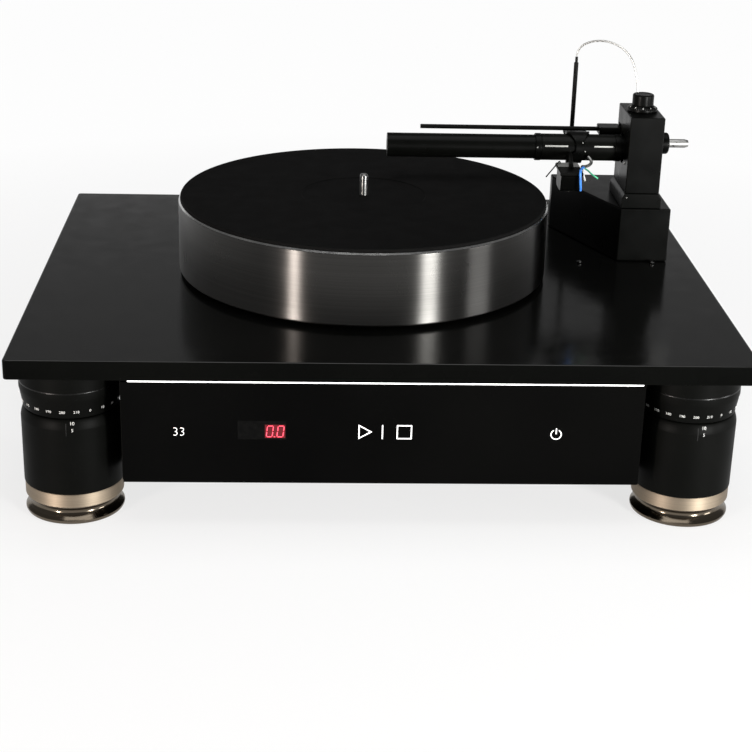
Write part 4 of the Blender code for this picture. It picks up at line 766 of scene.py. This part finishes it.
# Platter, mat and record pin
def platter():
    """The platter with its bright rim, the mat and the record pin."""
    x, y = SPINDLE
    low, high = 0.1352, 0.1926
    web = high - 0.0144
    profile = [(0.0083, web), (0.1340, web), (0.1340, low), (0.1488, low), (0.1500, low + 0.0012),
               (0.1500, high - 0.0016), (0.1486, high), (0.0083, high)]
    wheel = turned("platter_fine", profile, (x, y, 0), 192, ring=True)
    fit(wheel, "platter_group", platter_metal, "bright_metal", "platter")
    profile = [(0.1480, 0.1922), (0.1491, 0.1913), (0.1498, 0.1914), (0.1488, 0.19265), (0.1480, 0.19265)]
    rim = turned("platter_rim", profile, (x, y, 0), 192, ring=True, edge=0)
    fit(rim, "platter_group", rim_metal, "bright_metal")
    top = 0.1954
    profile = [(0.0038, 0.1929), (0.1485, 0.1929), (0.1485, top - 0.0009), (0.1476, top), (0.0506, top),
               (0.0502, top - 0.0005), (0.0038, top - 0.0005)]
    mat = turned("platter_mat_fine", profile, (x, y, 0), 160, ring=True)
    fit(mat, "platter_group", rubber_black, "mat_rubber", "platter_mat")
    profile = [(0, 0.0822), (0.0080, 0.0822), (0.0080, 0.1404), (0.0140, 0.1404), (0.0140, 0.1442),
               (0.0080, 0.1442), (0.0080, 0.1926), (0.0035, 0.1926), (0.0035, 0.2066), (0.0034, 0.2067),
               (0.0034, 0.2070), (0.0035, 0.2071), (0.0035, 0.2098), (0.0032, 0.2110), (0.0025, 0.2118),
               (0.0014, 0.2122), (0, 0.2124)]
    pin = turned("spindle_fine", profile, (x, y, 0), 64, edge=0.00012)
    fit(pin, "platter_group", spindle_metal, "bright_metal", "spindle")


# Chassis, with its rear panel and underside
def chassis():
    """The box, its cover with eight screws, the power inlet and the two signal sockets."""
    dress("chassis_shell", 0.0006, "frame", foot_paint, "satin_black")
    dress("bottom_cover", 0.0004, "frame", foot_paint, "satin_black")
    low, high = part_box("bottom_cover")
    inset = 0.008
    middle = ((low.x + high.x) / 2, (low.y + high.y) / 2)
    heads = []
    for x in (low.x + inset, middle[0], high.x - inset):
        for y in (low.y + inset, middle[1], high.y - inset):
            if (x, y) != middle:
                heads.append(screw_head("cover_screw", (x, y, low.z), 0.0028, (math.pi, 0, 0)))
    fit(merged("cover_screws", heads), "frame", machined_metal, "brushed_metal")
    dress("power_inlet", 0.0003, "frame", moulded_black, "satin_black")
    low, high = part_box("power_inlet")
    x, z = (low.x + high.x) / 2, (low.z + high.z) / 2
    blades = []
    for across, up in ((-0.007, -0.002), (0, 0.003), (0.007, -0.002)):
        near = (x + across - 0.001, high.y - 0.0165, z + up - 0.002)
        far = (x + across + 0.001, high.y - 0.002, z + up + 0.002)
        blades.append(block("blade", near, far, 0.0002))
    fit(merged("inlet_pins", blades), "frame", pin_steel, "brushed_metal")
    for side, colour in (("left", socket_white), ("right", socket_red)):
        dress(f"signal_socket_{side}", 0.0002, "frame", band_metal, "brushed_metal")
        low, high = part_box(f"signal_socket_{side}")
        place = ((low.x + high.x) / 2, high.y - 0.0093 + 0.0012, (low.z + high.z) / 2)
        profile = [(0.0046, 0), (0.0062, 0), (0.0062, 0.0012), (0.0046, 0.0012)]
        ring = turned(f"signal_ring_{side}", profile, steps=48, ring=True, edge=0.0002)
        set_down(ring, place, (-math.pi / 2, 0, 0))
        fit(ring, "frame", colour, "lead_plastic")


# Drive under the platter, and its power supply
def drive():
    """The inner platter, its bearing, the motor and the belt."""
    x, y = SPINDLE
    profile = [(0.0083, 0.1445), (0.0620, 0.1445), (0.0620, 0.1582), (0.0400, 0.1582), (0.0400, 0.1779),
               (0.0083, 0.1779)]
    wheel = turned("sub_platter_fine", profile, (x, y, 0), 128, ring=True)
    fit(wheel, "platter_group", machined_metal, "brushed_metal", "sub_platter")
    for node, body in (("bearing_housing", "frame"), ("motor", "frame"), ("motor_pulley", "pulley")):
        dress(node, 0.0003, body, machined_metal, "brushed_metal")
    dress("drive_belt", 0.0002, "frame", belt_black, "belt_rubber")


def core_section(near, far, bottom, top, slope):
    """The section of a ring core, with sloping outer corners."""
    return [(near, bottom), (far - slope, bottom), (far, bottom + slope), (far, top - slope),
            (far - slope, top), (near, top)]


def power_supply():
    """A ring core with turns of enamelled wire wound side by side round it."""
    low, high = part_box("power_supply")
    x, y = (low.x + high.x) / 2, (low.y + high.y) / 2
    wire = 0.0008
    near, far = 0.0100 + 2 * wire, 0.0340 - 2 * wire
    bottom, top = low.z + 2 * wire, high.z - 2 * wire
    section = core_section(near, far, bottom, top, 0.0050)
    core = turned("supply_core", section, (x, y, 0), ring=True, edge=0.0004)
    fit(core, "frame", belt_black, "copper_winding")
    loop = core_section(near - wire, far + wire, bottom - wire, top + wire, 0.0052)
    turns = []
    count = 40
    for step in range(count):
        angle = math.tau * step / count
        route = [(r * math.cos(angle), r * math.sin(angle), z) for r, z in loop]
        turns.append(wire_mesh("winding_turn", route, wire, closed=True))
    winding = merged("supply_winding", turns)
    set_down(winding, (x, y, 0))
    fit(winding, "frame", copper_wire, "copper_winding", "power_supply")


# Arm base, tower and height knob
def tower():
    """The arm base with its screws, the tower with two grub screws, and the sliding block in it."""
    for node, edge in (("arm_base", 0.0007), ("tower_foot", 0.0006), ("arm_tower", 0.0005)):
        dress(node, edge, "frame", arm_paint, "arm_black")
    dress("vta_block", 0.0004, "height_block", machined_metal, "brushed_metal")
    for side in ("left", "right"):
        node = f"base_screw_{side}"
        low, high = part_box(node)
        place = ((low.x + high.x) / 2, (low.y + high.y) / 2, low.z)
        head = screw_head(f"{node}_fine", place, (high.x - low.x) / 2)
        fit(head, "frame", screw_black, "bright_metal", node)
    dots = [screw_head("stud", (0.2085, 0.0385, 0.2144), 0.0011, (0, -math.pi / 2, 0)),
            stud("stud", (0.2101, 0.0264, 0.1880), 0.0006, (math.pi / 2, 0, 0))]
    fit(merged("tower_studs", dots), "frame", pin_steel, "bright_metal")


DIAL_TICKS = 40
DIAL_FIGURES = 10
DIAL_START = 8


def height_knob():
    """The ticked and numbered dial, and the knob on it with its screw below."""
    x, y = TOWER_X, BAR_Y
    profile = [(0.0033, 0.2560), (0.0122, 0.2560), (0.0124, 0.2562), (0.0124, 0.2580), (0.0122, 0.2583),
               (0.0091, 0.2603), (0.0089, 0.2605), (0.0033, 0.2605)]
    dial = turned("vta_dial_fine", profile, (x, y, 0), 72, ring=True, edge=0.00012)
    fit(dial, "height_knob", arm_paint, "arm_black", "vta_dial")
    slope = ((0.0122, 0.2584), (0.0091, 0.2604))
    ticks, figures = [], []
    for step in range(DIAL_TICKS):
        tick = block("tick", (-0.00012, -0.0018, -0.00002), (0.00012, -0.0009, 0.00006), 0)
        wrapped(tick, (x, y), *slope, math.radians(360 / DIAL_TICKS * step - DIAL_START))
        ticks.append(tick)
    for step in range(DIAL_FIGURES):
        figure = lettering("figure", str(step), 0.0023)
        wrapped(figure, (x, y), *slope, math.radians(360 / DIAL_FIGURES * step - DIAL_START))
        figures.append(figure)
    fit(merged("dial_ticks", ticks), "height_knob", print_grey, "arm_black")
    fit(merged("dial_figures", figures), "height_knob", print_white, "arm_black")
    profile = [(0, 0.2363), (0.0030, 0.2363), (0.0030, 0.2608), (0.0087, 0.2608), (0.0089, 0.2610),
               (0.0089, 0.2686), (0.0085, 0.2694), (0.0078, 0.2697), (0.0062, 0.2697), (0.0058, 0.2694),
               (0, 0.2694)]
    knob = turned("vta_knob_fine", profile, (x, y, 0), 72, edge=0.00015)
    fit(knob, "height_knob", arm_paint, "arm_black", "vta_knob")


# Air beam, sleeve and what rides on them
def beam():
    """The bar with its air nozzle, the lift rail, and the sleeve with its inlays and collars."""
    facing_front = (math.pi / 2, 0, 0)
    dress("air_beam", 0.0004, "height_block", arm_paint, "arm_black")
    dress("inlet_collar", 0.0003, "height_block", arm_paint, "arm_black")
    dress("air_nozzle", 0.0003, "height_block", nozzle_steel, "bright_metal")
    low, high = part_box("air_nozzle")
    hole = stud("nozzle_hole", (0.2512, low.y - 0.00002, 0.2266), 0.0008, facing_front)
    fit(hole, "height_block", moulded_black, "bright_metal")
    dress("rail_holder", 0.0005, "height_block", arm_paint, "arm_black")
    dress("lift_rail", 0.0003, "rail", arm_paint, "arm_black")
    dress("carriage_sleeve", 0, "carriage", arm_paint, "arm_black")
    for side in ("left", "right"):
        dress(f"sleeve_collar_{side}", 0.0004, "carriage", arm_paint, "arm_black")
    for name, start, end in (("left", 0.1415, 0.1611), ("right", 0.1829, 0.1991)):
        inlay = block(f"slot_inlay_{name}", (start, 0.0442, 0.2258), (end, 0.0448, 0.2274), 0.0002)
        fit(inlay, "carriage", inlay_metal, "brushed_metal")
    dot = stud("sleeve_stud", (0.1352, 0.0432, 0.2257), 0.0006, facing_front)
    fit(dot, "carriage", nozzle_steel, "bright_metal")


# Strap, wand, headshell, cartridge and leads
def from_stylus(route):
    """A route's places, counted from the stylus line on the headshell's top."""
    return [Vector((STYLUS_X + x, SPINDLE[1] + y, SHELL_TOP + z)) for x, y, z in route]


LEAD_START = (0.0122, 0.0068, -0.0008)
LEADS = (
    ("blue", lead_blue, 0.0010, (LEAD_START, (0.0108, 0.0010, 0.0012), (0.0085, -0.0060, 0.0022),
                                 (0.0068, -0.0118, 0.0022), (0.0062, -0.0142, 0.0008),
                                 (0.0064, -0.0150, -0.0040), (0.0070, -0.0148, -0.0100),
                                 (0.0074, -0.0142, -0.0141))),
    ("white", lead_white, 0.0008, (LEAD_START, (0.0114, 0.0030, -0.0022), (0.0112, 0.0008, -0.0043),
                                   (0.0124, -0.0027, -0.0090))),
    ("green", lead_green, 0.0007, (LEAD_START, (0.0150, 0.0030, -0.0018), (0.0179, -0.0022, -0.0037),
                                   (0.0225, -0.0052, -0.0063))),
)


def arm():
    """The strap, wand, headshell, cartridge, stylus and finger lift, and the three leads in their clip."""
    for node in ("arm_bracket", "arm_wand", "headshell", "cartridge"):
        dress(node, 0.0003, "arm", arm_paint, "arm_black")
    dress("finger_lift", 0, "arm", arm_paint, "arm_black")
    # A thin grey plate over the headshell's rear top; its pale grey is a painted highlight where the top
    # catches the light.
    low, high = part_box("headshell")
    near = (low.x + 0.0006, 0.0090, high.z + 0.00002)
    far = (high.x - 0.0006, high.y - 0.0004, high.z + 0.0002)
    fit(block("shell_highlight_plate", near, far, 0.00004, 1), "arm", shell_highlight_paint, "grey_plate")
    dress("stylus", 0, "arm", inlay_metal, "bright_metal")
    route = from_stylus(((0.0118, 0.0078, -0.0008), (0.0120, 0.0113, -0.0011)))
    clip = wire_mesh("lead_clip", route, 0.0016, sides=4)
    fit(clip, "arm", moulded_black, "lead_plastic", "cartridge_leads")
    for colour, finish, radius, route in LEADS:
        lead = wire_mesh(f"lead_{colour}", eased(from_stylus(route), 5), radius, sides=3)
        fit(lead, "arm", finish, "lead_plastic")
    dots = []
    for place in ((0.1729, 0.0428, 0.2301), (0.1752, 0.0418, 0.2230)):
        dots.append(stud("stud", place, 0.0005, (math.pi / 2, 0, 0)))
    fit(merged("strap_studs", dots), "arm", inlay_metal, "bright_metal")


def build():
    """Makes every piece but the cords."""
    plinth()
    for name, (x, y) in FEET.items():
        foot(name, x, y)
    foot_marks()
    front()
    platter()
    chassis()
    drive()
    power_supply()
    tower()
    height_knob()
    beam()
    arm()
    dress("wire_mast", 0.0002, "frame", arm_paint, "arm_black")


build()

# Finishes of the nodes that no piece stands for, by slot
REST = {
    "satin_black": foot_paint,
    "gloss_black": glass_black,
    "white_light": led_white,
    "red_display": window_dark,
    "champagne_metal": band_metal,
    "dark_chrome": base_metal,
    "bright_metal": pin_steel,
    "mat_rubber": rubber_black,
    "belt_rubber": belt_black,
    "brushed_metal": machined_metal,
    "copper_winding": copper_wire,
    "arm_black": arm_paint,
    "grey_plate": arm_paint,
    "clear_wire": silver_wire,
    "lead_plastic": lead_white,
}


def finish_nodes():
    """Gives every node that still shows the finish of its slot."""
    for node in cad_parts.values():
        for slot in node.material_slots:
            slot.material = REST[slot.material.name.split(".")[0]]


finish_nodes()


# Floor, backdrop and lamps
def worked(finish, operation, first, second):
    """Two shader values worked into one."""
    node = finish.node_tree.nodes.new("ShaderNodeMath")
    node.operation = operation
    joined(finish, first, node.inputs[0])
    joined(finish, second, node.inputs[1])
    return node.outputs[0]


def pale_finish(name, colour, near_share, far_share):
    """A pale matt surface that the eye and mirrors see nearly white, with its shadows near the player."""
    finish = bpy.data.materials.new(name)
    finish.use_nodes = True
    nodes = finish.node_tree.nodes
    nodes.clear()
    output = nodes.new("ShaderNodeOutputMaterial")
    matt = nodes.new("ShaderNodeBsdfDiffuse")
    matt.inputs["Color"].default_value = (*colour, 1)
    white = nodes.new("ShaderNodeEmission")
    white.inputs["Strength"].default_value = 1.0
    path = nodes.new("ShaderNodeLightPath")
    seen = worked(finish, "MAXIMUM", path.outputs["Is Camera Ray"], path.outputs["Is Glossy Ray"])
    seen = worked(finish, "MAXIMUM", seen, path.outputs["Is Transmission Ray"])
    place = nodes.new("ShaderNodeTexCoord")
    away = nodes.new("ShaderNodeVectorMath")
    away.operation = "LENGTH"
    joined(finish, place.outputs["Object"], away.inputs[0])
    share = nodes.new("ShaderNodeMapRange")
    share.inputs["From Min"].default_value = 0.35
    share.inputs["From Max"].default_value = 1.0
    share.inputs["To Min"].default_value = near_share
    share.inputs["To Max"].default_value = far_share
    joined(finish, away.outputs["Value"], share.inputs["Value"])
    mix = nodes.new("ShaderNodeMixShader")
    joined(finish, worked(finish, "MULTIPLY", seen, share.outputs["Result"]), mix.inputs["Fac"])
    joined(finish, matt.outputs[0], mix.inputs[1])
    joined(finish, white.outputs[0], mix.inputs[2])
    joined(finish, mix.outputs[0], output.inputs["Surface"])
    return finish


def room():
    """A round pale floor, just under the soles, with a low pale wall round it."""
    pale = pale_finish("pale_floor", (0.90, 0.90, 0.90), 0.72, 0.97)
    radius, wall = 4.0, 1.0
    bpy.ops.object.select_all(action="DESELECT")
    bpy.ops.mesh.primitive_circle_add(vertices=96, radius=radius, fill_type="NGON", location=(0, 0, -0.0002))
    floor = bpy.context.object
    floor.name = "floor"
    bpy.ops.object.mode_set(mode="EDIT")
    bpy.ops.mesh.select_mode(type="EDGE")
    bpy.ops.mesh.select_all(action="DESELECT")
    bpy.ops.mesh.select_non_manifold()
    bpy.ops.mesh.extrude_edges_move(TRANSFORM_OT_translate={"value": (0, 0, wall)})
    bpy.ops.mesh.select_all(action="SELECT")
    bpy.ops.mesh.normals_make_consistent(inside=True)
    bpy.ops.object.mode_set(mode="OBJECT")
    floor.data.materials.append(pale)


def lamp(name, azimuth, distance, height, size, power, tint=(1.0, 1.0, 1.0)):
    """A soft box at an azimuth from the front, turned towards the player."""
    data = bpy.data.lights.new(name, "AREA")
    data.shape = "RECTANGLE"
    data.size, data.size_y = size
    data.energy = power
    data.color = tint
    light = bpy.data.objects.new(name, data)
    bpy.context.scene.collection.objects.link(light)
    angle = math.radians(azimuth)
    place = Vector((distance * math.sin(angle), -distance * math.cos(angle), height))
    aim = Vector((0, 0, 0.16))
    light.location = place
    light.rotation_mode = "QUATERNION"
    light.rotation_quaternion = (aim - place).to_track_quat("-Z", "Y")
    light.visible_camera = False


def lights():
    """Three soft boxes low round the front, a wide one above, and a faint even light from the room."""
    lamp("lamp_left", azimuth=-41, distance=1.75, height=0.20, size=(0.145, 0.34), power=24.0,
         tint=(1.0, 0.90, 0.84))
    lamp("lamp_right", azimuth=36.5, distance=1.75, height=0.26, size=(0.26, 0.46), power=42.0,
         tint=(1.0, 1.0, 0.98))
    lamp("lamp_side", azimuth=69, distance=1.75, height=0.26, size=(0.44, 0.46), power=7.5)
    lamp("lamp_above", azimuth=0, distance=0.10, height=2.40, size=(1.80, 1.80), power=27.0)
    world = bpy.data.worlds.new("room")
    world.use_nodes = True
    back = world.node_tree.nodes["Background"]
    back.inputs["Color"].default_value = (1.0, 1.0, 1.0, 1)
    back.inputs["Strength"].default_value = 0.19
    bpy.context.scene.world = world


room()
lights()
bpy.context.scene.view_settings.view_transform = "Standard"
